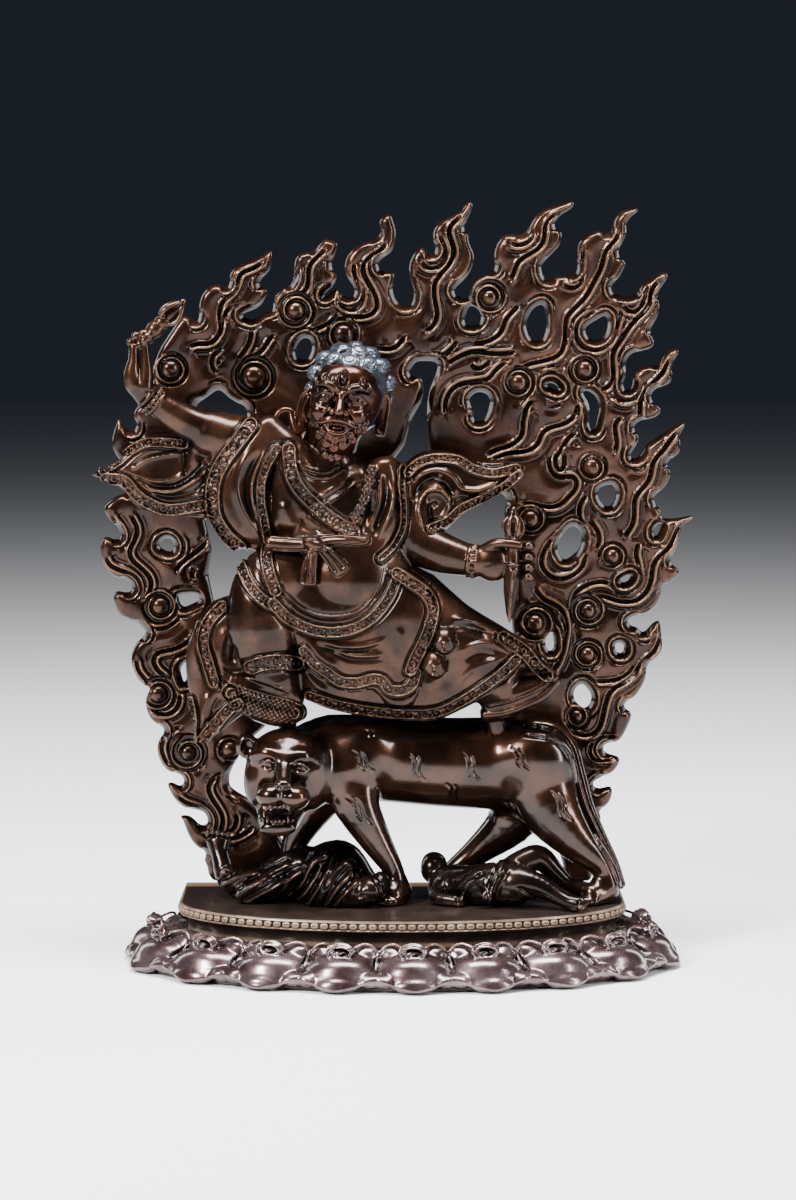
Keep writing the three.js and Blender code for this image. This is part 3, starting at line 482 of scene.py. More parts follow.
# Lines that run down from the tips, round the notches and into the bosses
FLAME_LINES = [
    [24, 283, 20.5, 279.5, 17, 277, 17, 273, 19.5, 268, 18.5, 264, 11.5, 256, 11.5, 250, 13, 244.5, 12.5,
    240.5, 9, 237.5, 5.5, 237],
    [13, 276.5, 14, 272, 16, 268, 16, 264, 13.5, 261.5, 9.5, 261, 7.5, 263, 7, 266.5],
    [-4.5, 246, -1, 243, 4, 243.5, 6.5, 247.5, 6.5, 252.5, 5, 256.5, 5, 260.5],
    [6.5, 226.5, 12, 225.5, 17.5, 228.5, 21, 232.5, 22.5, 236],
    [61, 283, 56, 281, 53, 277.5, 53, 273, 52.5, 269.5, 43, 264, 40.5, 256, 38, 255],
    [49, 277.5, 49, 274, 47, 270.5, 43, 269.5, 40, 271, 39, 273],
    [45.5, 249.5, 38, 241.5, 37.5, 237, 34, 234.5, 29.5, 233, 24.5, 233.5],
    [58.5, 257, 60, 254, 63.5, 252.5, 67, 253.5, 68.5, 256.5, 68, 266.5, 69, 271],
    [81, 277.5, 80.5, 272.5, 75.5, 267.5, 74.5, 261.5, 68.5, 250, 61, 243, 61, 233, 59.5, 228.5, 53.5,
    226.5, 47.5, 225.5, 42.5, 222.5],
    [98, 258.5, 94, 255, 92.5, 251.5, 92.5, 247.5, 85.5, 240, 78.5, 229.5, 79.5, 218.5, 76, 215.5, 71.5,
    215.5],
    [91.5, 253.5, 90.5, 248.5, 88.5, 245, 85, 244.5, 82, 250],
    [82.5, 247.5, 80.5, 240, 78, 233.5, 73.5, 230, 68, 231.5, 65.5, 236, 66.5, 240, 75.5, 246.5],
    [103, 229.5, 99.5, 226.5, 98, 222, 90.5, 215, 89, 210.5, 89.5, 205.5, 88.5, 201],
    [89, 220.5, 89.5, 217, 87.5, 212.5, 84, 210.5, 81, 212.5, 79.5, 215.5],
    [13.5, 221, 17.5, 225, 25, 229, 29, 229.5, 33, 228, 45.5, 229],
    [26.5, 228, 25, 225, 26.5, 222.5, 30.5, 222.5, 36, 228],
    [17.5, 203.5, 16.5, 209.5, 18, 214, 21.5, 217, 33.5, 218.5, 35.5, 222.5, 42, 227],
    [53, 212.5, 54.5, 210, 57, 209, 60, 210.5, 61, 214],
    [45.5, 203.5, 46.5, 207.5, 52, 213],
    [51, 221, 55.5, 221.5, 59.5, 220.5, 60.5, 223, 63, 224.5],
    [65, 212.5, 66.5, 207.5, 65.5, 201.5],
    [-50.5, 265.5, -56, 261, -61, 260, -62, 257.5, -62.5, 254, -69, 247.5, -69.5, 243.5, -68.5, 238.5,
    -70, 234.5, -73, 232.5, -77, 233.5, -80.5, 232, -82.5, 229.5],
    [-59.5, 248, -65, 247, -67.5, 244, -69, 233.5],
    [-57, 241, -57.5, 233.5, -64, 224],
    [-65.5, 231.5, -70, 230.5, -72.5, 228, -72.5, 224, -70.5, 220.5, -66.5, 222.5],
    [-45.5, 236.5, -49.5, 236.5, -53, 230, -60, 226.5],
    [-27, 270.5, -35.5, 262.5, -36, 258, -35.5, 254, -38, 251.5, -42, 250, -45, 247.5, -45.5, 244],
    [-25, 247.5, -24.5, 243.5, -27.5, 240.5, -38, 236.5, -42, 233.5, -43.5, 228.5, -42, 224.5, -38, 223],
    [-5.5, 273.5, -7, 268.5, -11.5, 266.5, -15, 263.5, -15.5, 259, -10, 250, -9.5, 245.5, -13, 243,
    -22.5, 243.5],
    [-16.5, 265.5, -19, 262.5, -18.5, 257.5, -15.5, 253, -15, 249, -17, 245.5, -20.5, 245.5, -23.5, 248,
    -24.5, 251.5],
    [3, 237.5, 0.5, 236, -1.5, 232, -5, 230.5, -11, 232, -12.5, 230.5],
    [-39, 264.5, -40.5, 255.5, -47, 249.5],
    [49.5, 211.5, 46.5, 208, 45, 203, 45.5, 198, 41.5, 194.5, 35.5, 193, 31.5, 191, 30.5, 188],
    [65.5, 211.5, 65.5, 205.5, 61, 202.5, 55.5, 201.5, 52, 199, 51.5, 194.5, 47, 192, 41.5, 192, 37, 191,
    33.5, 188],
    [53, 212, 54.5, 208.5, 57.5, 208, 60.5, 209, 61.5, 211.5],
    [67.5, 201, 63, 198, 60.5, 194.5, 60, 191.5, 57.5, 191, 57, 187, 59, 183.5, 61.5, 184, 62.5, 187.5,
    61, 194],
    [55.5, 192.5, 55, 186.5, 57, 182, 60.5, 181, 64.5, 182.5, 66, 182, 66, 178, 59, 171, 54.5, 171, 49.5,
    172.5, 45, 172.5, 42, 171.5],
    [85.5, 206.5, 80.5, 204.5, 79.5, 201, 81, 196, 80.5, 192, 78.5, 189],
    [73, 177, 68.5, 175, 66.5, 171, 67, 164.5, 73, 155],
    [69, 168, 75, 160, 73, 151.5],
    [63.5, 165.5, 54, 155.5, 52, 149.5, 54, 145, 59, 142, 65, 143.5, 69.5, 147.5, 70.5, 153, 70, 157],
    [106, 202, 101.5, 198, 98.5, 193, 95.5, 190, 93.5, 186.5, 94, 183, 91.5, 179, 87.5, 175, 87.5, 164.5,
    84, 160, 83.5, 156.5],
    [84, 188, 88, 184, 91.5, 184, 92.5, 187.5, 92.5, 191.5],
    [109.5, 167, 105, 165.5, 101, 155.5, 97, 152.5, 94.5, 149, 94.5, 143.5, 93, 139, 89, 135, 82.5, 135,
    78, 137, 73.5, 137.5, 70, 134.5],
    [92.5, 158.5, 94, 156, 97.5, 156, 99.5, 159.5, 99.5, 163.5],
    [91.5, 159.5, 88.5, 156.5, 88, 152.5, 90, 148, 88.5, 143.5, 85, 140, 76.5, 143, 71, 142, 65.5, 138.5,
    64, 133, 66.5, 128, 71, 126, 75, 128],
    [48.5, 141.5, 53.5, 134.5, 59.5, 132.5, 62.5, 128, 63, 119],
    [52.5, 135, 47.5, 132.5, 44.5, 129, 45.5, 124, 47.5, 122],
    [58.5, 131.5, 62, 126, 62, 120, 60.5, 113.5, 58, 108, 55, 106],
    [89.5, 119.5, 91.5, 117.5, 94.5, 119, 97, 122],
    [98.5, 126, 98, 121, 96, 115.5, 92, 113, 87.5, 106, 79, 100.5, 77.5, 96, 75.5, 86, 72.5, 83, 68, 83,
    64.5, 85.5, 63.5, 88],
    [85, 83.5, 81, 82, 77.5, 83, 73.5, 81, 71, 78, 72, 74, 74.5, 72, 84, 73.5],
    [81.5, 69, 76.5, 67, 72, 66.5, 69.5, 63, 70, 59, 73, 58.5],
    [89.5, 112.5, 86, 106.5, 81, 104.5, 71, 104],
    [-104, 170.5, -103, 167, -100, 162.5, -102, 158, -104, 155.5, -104, 152, -101, 148.5, -97, 145.5,
    -95, 142, -98.5, 134, -97.5, 132],
    [-111, 171, -110, 166, -106, 162, -105.5, 158.5, -108.5, 156, -111.5, 156.5],
    [-113, 155.5, -113, 151.5, -111, 148, -101.5, 144.5, -100, 140.5, -102, 137, -106, 136.5],
    [-86.5, 160, -84, 159, -83, 155.5, -86.5, 149.5],
    [-74, 163, -74.5, 157, -83, 151, -86.5, 147.5, -87, 143.5],
    [-76, 148.5, -79, 148, -81, 146, -81, 143.5, -78.5, 141.5, -76.5, 142.5],
    [-100, 125, -96, 123.5, -89, 124, -81.5, 130.5],
    [-77, 125.5, -81.5, 119.5, -87, 116.5, -93.5, 116, -96, 112.5, -94, 108, -88.5, 104, -85, 99, -86,
    93.5, -90, 91, -94.5, 92.5, -95.5, 96],
    [-102, 115.5, -101.5, 108.5, -98, 104, -94.5, 101.5],
    [-82.5, 112.5, -86.5, 112.5, -88, 108.5, -86.5, 105, -82.5, 101.5],
    [-82, 87, -87, 86.5, -92, 82.5, -93, 77.5, -90.5, 71.5, -86.5, 69],
    [-82.5, 83.5, -88, 80.5, -88, 75, -84, 71, -79, 70, -73, 71.5],
    [-69.5, 69, -75, 64.5, -75, 60.5, -69, 51, -69.5, 46, -73, 42],
    [-66, 71, -69, 67, -69, 61, -65.5, 56.5, -61, 55],
    [-88.5, 61, -83.5, 56, -77.5, 54.5, -73.5, 51, -74.5, 46.5, -79, 45.5],
    [-65.5, 54.5, -63.5, 49.5, -65.5, 45.5, -69, 43.5],
    [-56, 49, -58.5, 46, -62.5, 43.5, -69, 41.5],
]
# Bosses in their spiral rings: x, z, boss radius, ring radius, turn of the ring (1 left, -1 right)
FLAME_BOSSES = [
    [-56, 220, 4.6, 7.8, 1], [-87, 223, 3.6, 6, 1], [-40, 245, 3.4, 6.8, 1], [-22, 236, 4.2, 6.2, -1],
    [33, 250, 3, 6.4, -1], [44, 218, 3.4, 5.8, 1], [69, 223, 3.4, 5.8, -1], [72, 186, 3.4, 5.4, 1],
    [49, 166, 3.4, 5.4, -1], [80, 152, 3, 5, 1], [71, 131, 3, 6.4, -1], [51, 126, 3.4, 7.4, 1],
    [71, 114, 3, 5.8, 1], [67, 90, 2.6, 4.6, -1], [-92, 133, 3.4, 6.4, -1], [-93, 99, 3.4, 6.4, 1],
    [-82, 76, 3, 7, 1], [-66, 77, 3.4, 5, -1],
]

# %% The plate's outline
def evened(numbers, closed, spacing=0.8, rounds=3):
    """Points at even steps along a line through pairs of x and z, with its corners rounded a little."""
    points = np.array(numbers, float).reshape(-1, 2)
    if closed:
        points = np.vstack([points, points[:1]])
    travelled = np.append(0, np.hypot(*np.diff(points, axis=0).T).cumsum())
    steps = np.linspace(0, travelled[-1], int(travelled[-1] / spacing) + 2)
    points = np.stack([np.interp(steps, travelled, points[:, k]) for k in (0, 1)], axis=1)
    for _ in range(rounds):
        before, after = np.roll(points, 1, axis=0), np.roll(points, -1, axis=0)
        if closed:
            before[0], after[-1] = points[-2], points[1]
        else:
            before[0], after[-1] = points[0], points[-1]
        points = (before + 2 * points + after) / 4
    return points


def inside_line(x, z, points):
    """The board's places inside a closed line: those with an odd number of crossings to their right."""
    crossings = np.zeros((x.size + 1, z.size), int)
    for (ax, az), (bx, bz) in zip(points[:-1], points[1:]):
        rows = np.flatnonzero((az > z[0]) != (bz > z[0]))
        across = ax + (z[0, rows] - az) / (bz - az + 1e-12) * (bx - ax)
        np.add.at(crossings, (np.searchsorted(x[:, 0], across), rows), 1)
    return crossings[::-1].cumsum(0)[::-1][1:] % 2 == 1


def edge_distance(x, z, numbers):
    """Distance to a closed line, less than 0 inside."""
    points = evened(numbers, closed=True)
    distance = np.minimum(np.abs(along_curve(x, z, points, 9)[0]), 9)
    return np.where(inside_line(x, z, points), -distance, distance)


flames = Clay((-117, -8, FLOOR + CASTING_GAP), (113, 4.5, 288), 0.4)
x, z = flames.axes[0][:, None], flames.axes[2][None, :]
edge = edge_distance(x, z, FLAME_OUTLINE)
for hole in FLAME_HOLES:
    edge = np.maximum(edge, -edge_distance(x, z, hole))
print("board", edge.shape, "front area mm2:", round(float((edge < 0).sum()) * flames.pitch**2))

# %% Lines on the face
def blurred(board, radius):
    """A board averaged over its neighbourhood."""
    reach = int(3 * radius / flames.pitch)
    weight = np.exp(-0.5 * (np.arange(-reach, reach + 1) * flames.pitch / radius) ** 2)
    weight /= weight.sum()
    for axis in (0, 1):
        moved = np.zeros_like(board)
        padded = np.pad(board, [(reach, reach) if k == axis else (0, 0) for k in (0, 1)], mode="edge")
        for k, w in enumerate(weight):
            part = [slice(None)] * 2
            part[axis] = slice(k, k + board.shape[axis])
            moved += w * padded[tuple(part)]
        board = moved
    return board


def concave(radius):
    """How far the metal wraps round a notch or opening: more of the neighbourhood is metal than at a
    straight edge."""
    near = inward / radius
    straight = 0.5 + 0.5 * np.tanh(0.798 * near * (1 + 0.0447 * near**2))
    return blurred((edge < 0).astype(np.float32), radius) - straight


inward = -edge
face = np.zeros(edge.shape, np.float32)
quiet = inward.copy()
line_ends = []
for numbers in FLAME_LINES:
    path = evened(numbers, closed=False, rounds=14)
    line_ends += [path[0], path[-1]]
    across, along = along_curve(x, z, path, 9)
    length = np.hypot(*np.diff(path, axis=0).T).sum()
    fade = ease(0, 4, along) * ease(0, 4, length - along) * (np.abs(across) < 9)
    # From right to left: the plain band, a fine wire, a groove, a rounded ridge, a scratch and a wire
    face += fade * (0.75 * bump(across + 0.55, 0.45) - 1.25 * bump(across - 0.45, 0.55)
                    + 0.9 * bump(across - 2, 0.85) - 0.35 * bump(across - 3.2, 0.4)
                    + 0.35 * bump(across - 3.9, 0.4))
    quiet = np.minimum(quiet, np.minimum(np.abs(across + 0.5), np.abs(across - 3.9)) + 5 * (1 - fade))
face += 0.9 * (1 - np.exp(-((np.maximum(quiet, 0) / 2.2) ** 2))) - 0.9 * ease(1.6, 0, inward)

# %% Lips round notches and openings
wide = ease(0.015, 0.06, concave(3)) * ease(7.5, 5.5, inward)
small = ease(0.03, 0.10, concave(1.5)) * ease(4.6, 3.4, inward) * (1 - wide)
face = face * (1 - 0.85 * wide) * (1 - 0.8 * small)
# A sloping cove, a groove, a wire and a rounded ridge
face += wide * (0.7 * bump(inward - 2.9, 0.42) - 0.6 * bump(inward - 3.7, 0.42)
                + 0.75 * bump(inward - 5, 0.75) - 2.6 * ease(2.6, 0.1, inward))
face += small * (0.6 * bump(inward - 1.5, 0.4) - 0.8 * bump(inward - 2.3, 0.45)
                 + 0.5 * bump(inward - 3.2, 0.45)
                 - 1.8 * ease(1.4, 0.1, inward))

# %% Bosses and the lines that wind round them
line_ends = np.array(line_ends)
for centre_x, centre_z, boss, ring, way in FLAME_BOSSES:
    dx, dz = x - centre_x, z - centre_z
    radius = np.hypot(dx, dz)
    gaps = np.hypot(*(line_ends - (centre_x, centre_z)).T)
    nearest = line_ends[gaps.argmin()] - (centre_x, centre_z)
    start = math.atan2(nearest[1], nearest[0])
    turn = ((np.arctan2(dz, dx) - start) * way / (2 * math.pi)) % 1
    inside = ease(ring + 1, ring, radius)
    face = face * (1 - inside) - 0.7 * inside
    for lap in (0, 1):
        wound = turn + lap
        arm = ring - (ring - boss - 0.4) * wound / 1.3
        face += 1.5 * bump(radius - arm, 0.5) * ease(0, 0.06, wound) * ease(1.3, 1.1, wound)
    dome = np.sqrt(np.clip(1 - (radius / boss) ** 2, 0, 1))
    face = np.where(radius < boss, np.maximum(face, -0.7 + 0.85 * boss * dome), face)

# %% The dished plate
PLATE_FOOT_Y = 34
PLATE_LEAN = 17
PLATE_HEIGHT = 265
PLATE_DISH = 9
PLATE_DISH_WIDTH = 105


def dish_depth(x, z):
    """How far back the middle of the plate stands."""
    height = np.maximum(0, (z - FLOOR) / PLATE_HEIGHT)
    return PLATE_FOOT_Y - PLATE_LEAN * height**1.4 - PLATE_DISH * (x / PLATE_DISH_WIDTH) ** 2


def bend_plate(points):
    """Dish the flat plate toward the viewer."""
    bent = points.copy()
    bent[:, 1] += dish_depth(points[:, 0], points[:, 2])
    return bent


y = flames.axes[1][None, :, None]
front_y = -PLATE_HALF - face[:, None, :]
depth = np.maximum(front_y - y, y - PLATE_HALF + 0.4)
flames.field = np.clip(-soft_min(-edge[:, None, :], -depth, 2), -REACH, REACH).astype(np.float32)
flames.field[:, :, 0] = REACH
aureole = cast(flames, "flame_relief", 190000, bend_plate)
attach(aureole, "root")
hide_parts("flame_aureole")

# %% [markdown]
# The plinth is a low drum with a rounded front and a straight back. A row of square beads runs between two
# fillets under its top, then the wall draws in to a plain neck above a ring of lotus petals. The drum is a
# turned profile, so it could be a scaled cylinder, but its front is squarer than an oval. Here the profile
# is carried round the outline, corner by corner.

# %% The plinth's outline
HALF_WIDTH = 83.5
FRONT_DEPTH = 44.3
BACK_DEPTH = 40
PETAL_BACK = 18


def round_front(angle, grow):
    """A point of the squarish oval front; grow moves it outward."""
    cos, sin = np.cos(angle), np.sin(angle)
    power = 2 / 2.1
    return (np.sign(cos) * np.abs(cos) ** power * (HALF_WIDTH + grow),
            -np.sign(sin) * np.abs(sin) ** power * (FRONT_DEPTH + grow))


def front_angles(grow, start, end, spacing):
    """Angles evenly spaced along the front's outline, and their distance from its start."""
    angles = np.linspace(start, end, 4000)
    x, y = round_front(angles, grow)
    travelled = np.concatenate([[0], np.cumsum(np.hypot(np.diff(x), np.diff(y)))])
    count = max(int(round(travelled[-1] / spacing)), 1)
    even = np.linspace(0, travelled[-1], count + 1)
    return np.interp(even, travelled, angles), even


def grid_faces(columns, rows):
    """Four-sided faces between neighbouring columns and rows of points."""
    faces = []
    for c in range(columns - 1):
        for r in range(rows - 1):
            first, second = c * rows + r, (c + 1) * rows + r
            faces.append((first, first + 1, second + 1, second))
    return faces


# %% The drum
DRUM_PROFILE = [
    (-3.4, 10), (-2.6, 13), (-2.9, 15.5), (-2.3, 17.6), (-0.8, 18.9), (0.5, 19.2), (0.7, 19.5), (0.4, 19.8),
    (-0.5, 20), (-0.5, 21.9), (0.4, 22.1), (0.7, 22.4), (0.5, 22.8), (0, 23), (-0.8, 23.05),
]
angles, _ = front_angles(0, 0, math.pi, 1.2)
columns = []
for angle in angles:
    columns.append([(*round_front(angle, grow), height) for grow, height in DRUM_PROFILE])
right = [(HALF_WIDTH + grow, height) for grow, height in DRUM_PROFILE]
straight = np.linspace(BACK_DEPTH, 0, 24)[:-1]
before = [[(gx, y, h) for gx, h in right] for y in straight]
after = [[(-gx, y, h) for gx, h in right] for y in straight[::-1]]
columns = np.array(before + columns + after)
rows = len(DRUM_PROFILE)
faces = grid_faces(len(columns), rows)
top = [c * rows + rows - 1 for c in range(len(columns))]
bottom = [c * rows for c in range(len(columns))]
faces.append(tuple(top))
faces.append(tuple(reversed(bottom)))
faces.append(tuple(range(rows - 1, -1, -1)) + tuple((len(columns) - 1) * rows + r for r in range(rows)))
drum = finish_mesh("plinth_drum", columns.reshape(-1, 3), faces, NEVER_THINNED)
close_shell(drum)

# %% [markdown]
# The beads are cast with the drum, each a little cushion with a dimple. One is modelled from a cube: its
# edges are bevelled, and its outer face is inset and pushed in. Then it is copied along the outline.

# %% One bead
BEAD_PITCH = 3.6
BEAD_SIZE = (2.9, 2.2, 2.1)
BEAD_LEVEL = 21
bpy.ops.mesh.primitive_cube_add(size=1)
bead = bpy.context.object
bead.scale = BEAD_SIZE
bpy.ops.object.transform_apply(scale=True)
bpy.ops.object.mode_set(mode="EDIT")
bpy.ops.mesh.select_all(action="SELECT")
bpy.ops.mesh.bevel(offset=0.55, segments=1, affect="EDGES")
bpy.ops.mesh.select_all(action="DESELECT")
bpy.ops.object.mode_set(mode="OBJECT")
outer = min(bead.data.polygons, key=lambda face: face.center.y)
for face in bead.data.polygons:
    face.select = face.index == outer.index
bpy.ops.object.mode_set(mode="EDIT")
bpy.ops.mesh.select_mode(type="FACE")
bpy.ops.mesh.inset(thickness=0.35)
bpy.ops.transform.translate(value=(0, 0.45, 0))
bpy.ops.object.mode_set(mode="OBJECT")
bead_points = np.array([vertex.co for vertex in bead.data.vertices])
bead_faces = [tuple(face.vertices) for face in bead.data.polygons]
bpy.data.objects.remove(bead)
print("bead faces:", len(bead_faces))

# %% The row of beads
spots = [(*round_front(angle, 0), math.atan2(*reversed(np.subtract(
    round_front(angle + 0.01, 0), round_front(angle - 0.01, 0))))) for angle in
    front_angles(0, 0, math.pi, BEAD_PITCH)[0]]
for step in range(1, 9):
    spots.append((HALF_WIDTH, step * BEAD_PITCH, -math.pi / 2))
    spots.append((-HALF_WIDTH, step * BEAD_PITCH, math.pi / 2))
points, faces = [], []
for centre_x, centre_y, heading in spots:
    cos, sin = math.cos(heading + math.pi), math.sin(heading + math.pi)
    turned_points = bead_points @ np.array([[cos, sin, 0], [-sin, cos, 0], [0, 0, 1]])
    faces += [tuple(i + len(points) * len(bead_points) for i in face) for face in bead_faces]
    points.append(turned_points + (centre_x, centre_y, BEAD_LEVEL))
beads = finish_mesh("plinth_beads", np.concatenate(points), faces, NEVER_THINNED)
print("beads:", len(spots))

# %% [markdown]
# Each petal is a fleshy leaf that rises beside the neck, rolls up in a small volute between two shoulders,
# bulges outward and ends in three thick lobes, with a fine raised rim round it. The ring could be modelled
# in place, but every petal would then face its own way. Here the clay is a straight strip: the first number
# is the place along the ring, the second how far out, the third the height. The strip is bent round the
# plinth at the end. The leaves are laid on from the ends to the middle, so each lies over its outer
# neighbour.

# %% Petals
PETAL_PITCH = 24.6
PETAL_MIDDLE = 4    # the middle petal stands a little to the right of the centre
PETAL_COUNT_EACH_WAY = 7

angles, along = front_angles(6, -0.62, math.pi + 0.62, 0.5)
strip_x, strip_y = round_front(angles, 6)
front = strip_y < 0
middle = np.interp(-PETAL_MIDDLE, -strip_x[front], along[front])
strip = Clay((-middle, -4, -0.8), (along[-1] - middle, 23.2, 18.5), 0.36)
x, y, z = (axis.reshape(shape) for axis, shape in zip(strip.axes, ((-1, 1, 1), (1, -1, 1), (1, 1, -1))))
bed = np.interp(y, [-4, 3, 9, 15, 17], [11.5, 9.5, 6, 3.2, 2.2])
strip.field[:] = np.clip(np.maximum((z - bed) * 0.85, y - 15.5), -REACH, REACH)


def leaf(place):
    """One petal of the strip."""
    body = [[0, -3, 10.2, 8, 3.6], [0, 3.5, 11.2, 11.2, 3.8], [0, 10, 8, 13, 4], [0, 15.5, 5.2, 12.6, 3.2],
            [0, 18, 4.2, 9.5, 2.6]]
    limb(strip, [[place, r, h + 1.8, wide + 1.1, deep] for _, r, h, wide, deep in body], blend=0.2,
         take=True)
    limb(strip, [[place, r, h, wide, deep] for _, r, h, wide, deep in body], blend=0.5)
    pellet(strip, place, 11.5, 7.4, 9.6, 7.2, 5, blend=3)
    for side in (-1, 1):
        # A shoulder, a lobe of the lower edge that turns up, and the thin raised rim
        pellet(strip, place + side * 7.6, 5.4, 11.2, 5.4, 4.2, 4, blend=1.2)
        pellet(strip, place + side * 9.8, 15.8, 4.4, 4.6, 4.2, 2.8, blend=0.6)
        limb(strip, [[place + side * across, r, h, 0.55] for across, r, h in
                     ((12.9, 14, 6.2), (13, 10.6, 9), (12.4, 8, 12.2), (10, 7.2, 15.2), (6.8, 7.4, 16),
                      (4.2, 9.4, 15.2))], blend=0.3)
    # The thick lower edge hangs in three lobes
    pellet(strip, place, 18.2, 3, 7, 3.9, 3, blend=1)
    limb(strip, [[place + across, r, h, 0.8] for across, r, h in
                 ((-13.6, 14, 6), (-12, 18, 5.4), (-9, 19.6, 4.4), (-6.4, 19.4, 3.2), (-3.4, 21, 2.4),
                  (0, 21.8, 1.8), (3.4, 21, 2.4), (6.4, 19.4, 3.2), (9, 19.6, 4.4), (12, 18, 5.4),
                  (13.6, 14, 6))], blend=0.8)
    # The volute: a deep oval eye under a rolled rim that winds into it
    pellet(strip, place, 11.2, 14.2, 4.6, 3.4, 2.6, blend=0.5)
    pellet(strip, place + 0.5, 13.8, 14, 3.4, 3.2, 1.6, blend=0.3, take=True)
    pellet(strip, place + 0.9, 12.4, 13.6, 1.6, 1.2, 0.9, blend=0.2)
    turns = np.linspace(-0.6, 2.3 * math.pi, 15)
    limb(strip, [[place + (4.9 - 0.28 * t) * math.cos(t), 12.6 - 0.9 * math.sin(t),
                  14.2 + (3 - 0.2 * t) * math.sin(t), 0.5] for t in turns], blend=0.25, per_span=2, dome=1)


for count in range(PETAL_COUNT_EACH_WAY, -1, -1):
    for side in ((-1, 1) if count else (1,)):
        leaf(side * count * PETAL_PITCH)
strip.field = np.maximum(strip.field, np.maximum(-z, -3.6 - y)).astype(np.float32)
strip.field[0] = strip.field[-1] = REACH


def bend_strip(points):
    """Bend the strip round the plinth, and flatten it against the plane where the petals end."""
    angle = np.interp(points[:, 0] + middle, along, angles)
    bent = np.stack([*round_front(angle, points[:, 1]), points[:, 2]], axis=1)
    bent[:, 1] = np.minimum(bent[:, 1], PETAL_BACK)
    return bent


petals = cast(strip, "lotus_petals", 115000, bend_strip)
print("petals:", 2 * PETAL_COUNT_EACH_WAY + 1)

# %% The foot of the plinth at the back
foot_angles, _ = front_angles(0, 0, math.pi, 3)
outline = [(HALF_WIDTH - 1, BACK_DEPTH)] + [round_front(a, -1) for a in foot_angles] + [
    (-HALF_WIDTH + 1, BACK_DEPTH)]
count = len(outline)
points = np.array([(px, py, level) for level in (0, 13) for px, py in outline])
faces = [tuple(range(count - 1, -1, -1)), tuple(range(count, 2 * count))]
faces += [(i, (i + 1) % count, count + (i + 1) % count, count + i) for i in range(count)]
foot = finish_mesh("plinth_foot", points, faces, NEVER_THINNED)
close_shell(foot)
for piece in (drum, beads, petals, foot):
    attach(piece, "root")
    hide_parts("lotus_plinth")

# %% [markdown]
# The tigress is one smooth casting: a long back, heavy shoulders and haunches, a head turned to the front
# with an open mouth, and pairs of short wavy stripes cut into the skin. Rolls and pellets of clay blend
# into muscles, and the stripes are drawn on the board and sunk into both flanks.

# %% The tigress's body
cat = Clay((-64, -40, 22), (90, 32, 97), 0.5)
for stations in (
    [[-39, 6, 76, 12, 12], [-27, 7, 77, 15.5, 14], [-5, 8, 76, 16.5, 15], [18, 8, 74.5, 17, 15],
     [37, 8, 74, 17.5, 15], [52, 9, 72, 16.5, 14]],
    [[-25, 5, 76, 15, 13], [-36, -3, 74, 13, 12]],
    [[-20, -3, 72, 11, 8], [-17, -5, 60, 8.5, 7], [-10, -5, 47, 6, 5.5], [-3, -5, 35, 3.8, 4],
     [-2, -6, 28, 4, 4.5]],
    [[-1, -5, 27, 4.5, 4.5], [-4, -10, 25.5, 4.8, 4.2]],
    [[-29, 16, 64, 10, 8], [-39, 18, 47, 6, 6], [-43, 18, 35, 4, 4.5], [-44, 16, 26, 4.5, 5]],
    [[52, 2, 73, 14, 10], [55, -2, 60, 12, 9], [65, -4, 47, 8, 7], [75, -4, 38, 5.2, 5.5],
     [78, -4, 31, 4.5, 4.5]],
    [[77, -4, 28, 5, 5], [71, -9, 26, 5, 4.5]],
    [[49, 14, 64, 14, 9], [41, 15, 50, 9, 8], [29, 18, 39, 5.5, 5.5], [20, 18, 31, 4.5, 4.5],
     [17, 17, 26, 5, 4.5]],
):
    limb(cat, stations, blend=4.5)
pellet(cat, -15, -3, 80, 11, 7, 10, blend=6)        # near shoulder
pellet(cat, 50, -3, 78, 13, 8, 11, blend=6)         # near haunch
limb(cat, [[47, 12, 88, 3], [57, 12, 86, 3.6], [63, 11, 80, 3.8], [66, 9, 70, 3.8],
           [69, 6, 59, 3.6], [74, 3, 48, 3], [79, 1, 38, 2.6], [83, 2, 28, 2]], blend=1.2)
for start_x, start_y, way in ((-4, -10, -1), (71, -9, -1), (-44, 14, 0.3), (15, 15, -0.6)):
    for toe in (-1.5, -0.5, 0.5, 1.5):
        pellet(cat, start_x + toe * 1.9 + way * 1.6, start_y - 3.4 + 0.5 * abs(toe), 24.8, 1.35, 2.4, 1.9,
               blend=0.8)

# %% The head
pellet(cat, -43, -8, 77.5, 14.5, 12.5, 12, blend=5)
pellet(cat, -54, -10, 69, 5, 7, 9, blend=4)
pellet(cat, -33.5, -8, 68, 5.5, 7, 9, blend=4)
limb(cat, [[-43.5, -10, 84, 5, 4], [-43.6, -20.6, 77, 3.2, 3.2], [-43.7, -28.4, 71.8, 2.6, 2.6]], blend=4)
pellet(cat, -48.4, -24.5, 66.6, 5.6, 6.2, 4.8, blend=1.6)
pellet(cat, -39.6, -24, 66, 5.6, 6.2, 4.8, blend=1.6)
limb(cat, [[-46.5, -19.5, 80.4, 2, 2], [-50.5, -19.2, 81.6, 2.6, 2.2], [-55, -15.5, 80.3, 1.8, 1.8]],
     blend=3)
limb(cat, [[-41, -19.5, 79.8, 2, 2], [-36.5, -19.2, 80.2, 2.6, 2.2], [-33, -15.5, 78.3, 1.8, 1.8]], blend=3)
limb(cat, [[-45, -8, 60, 9, 7], [-46, -14, 56.2, 8, 5], [-46, -21, 53.6, 6.8, 3]], blend=3)
pellet(cat, -46, -23, 60.2, 6.9, 9.5, 4.8, blend=0.8, take=True)
pellet(cat, -46, -18, 56.4, 3.2, 6, 1.5, blend=0.5)
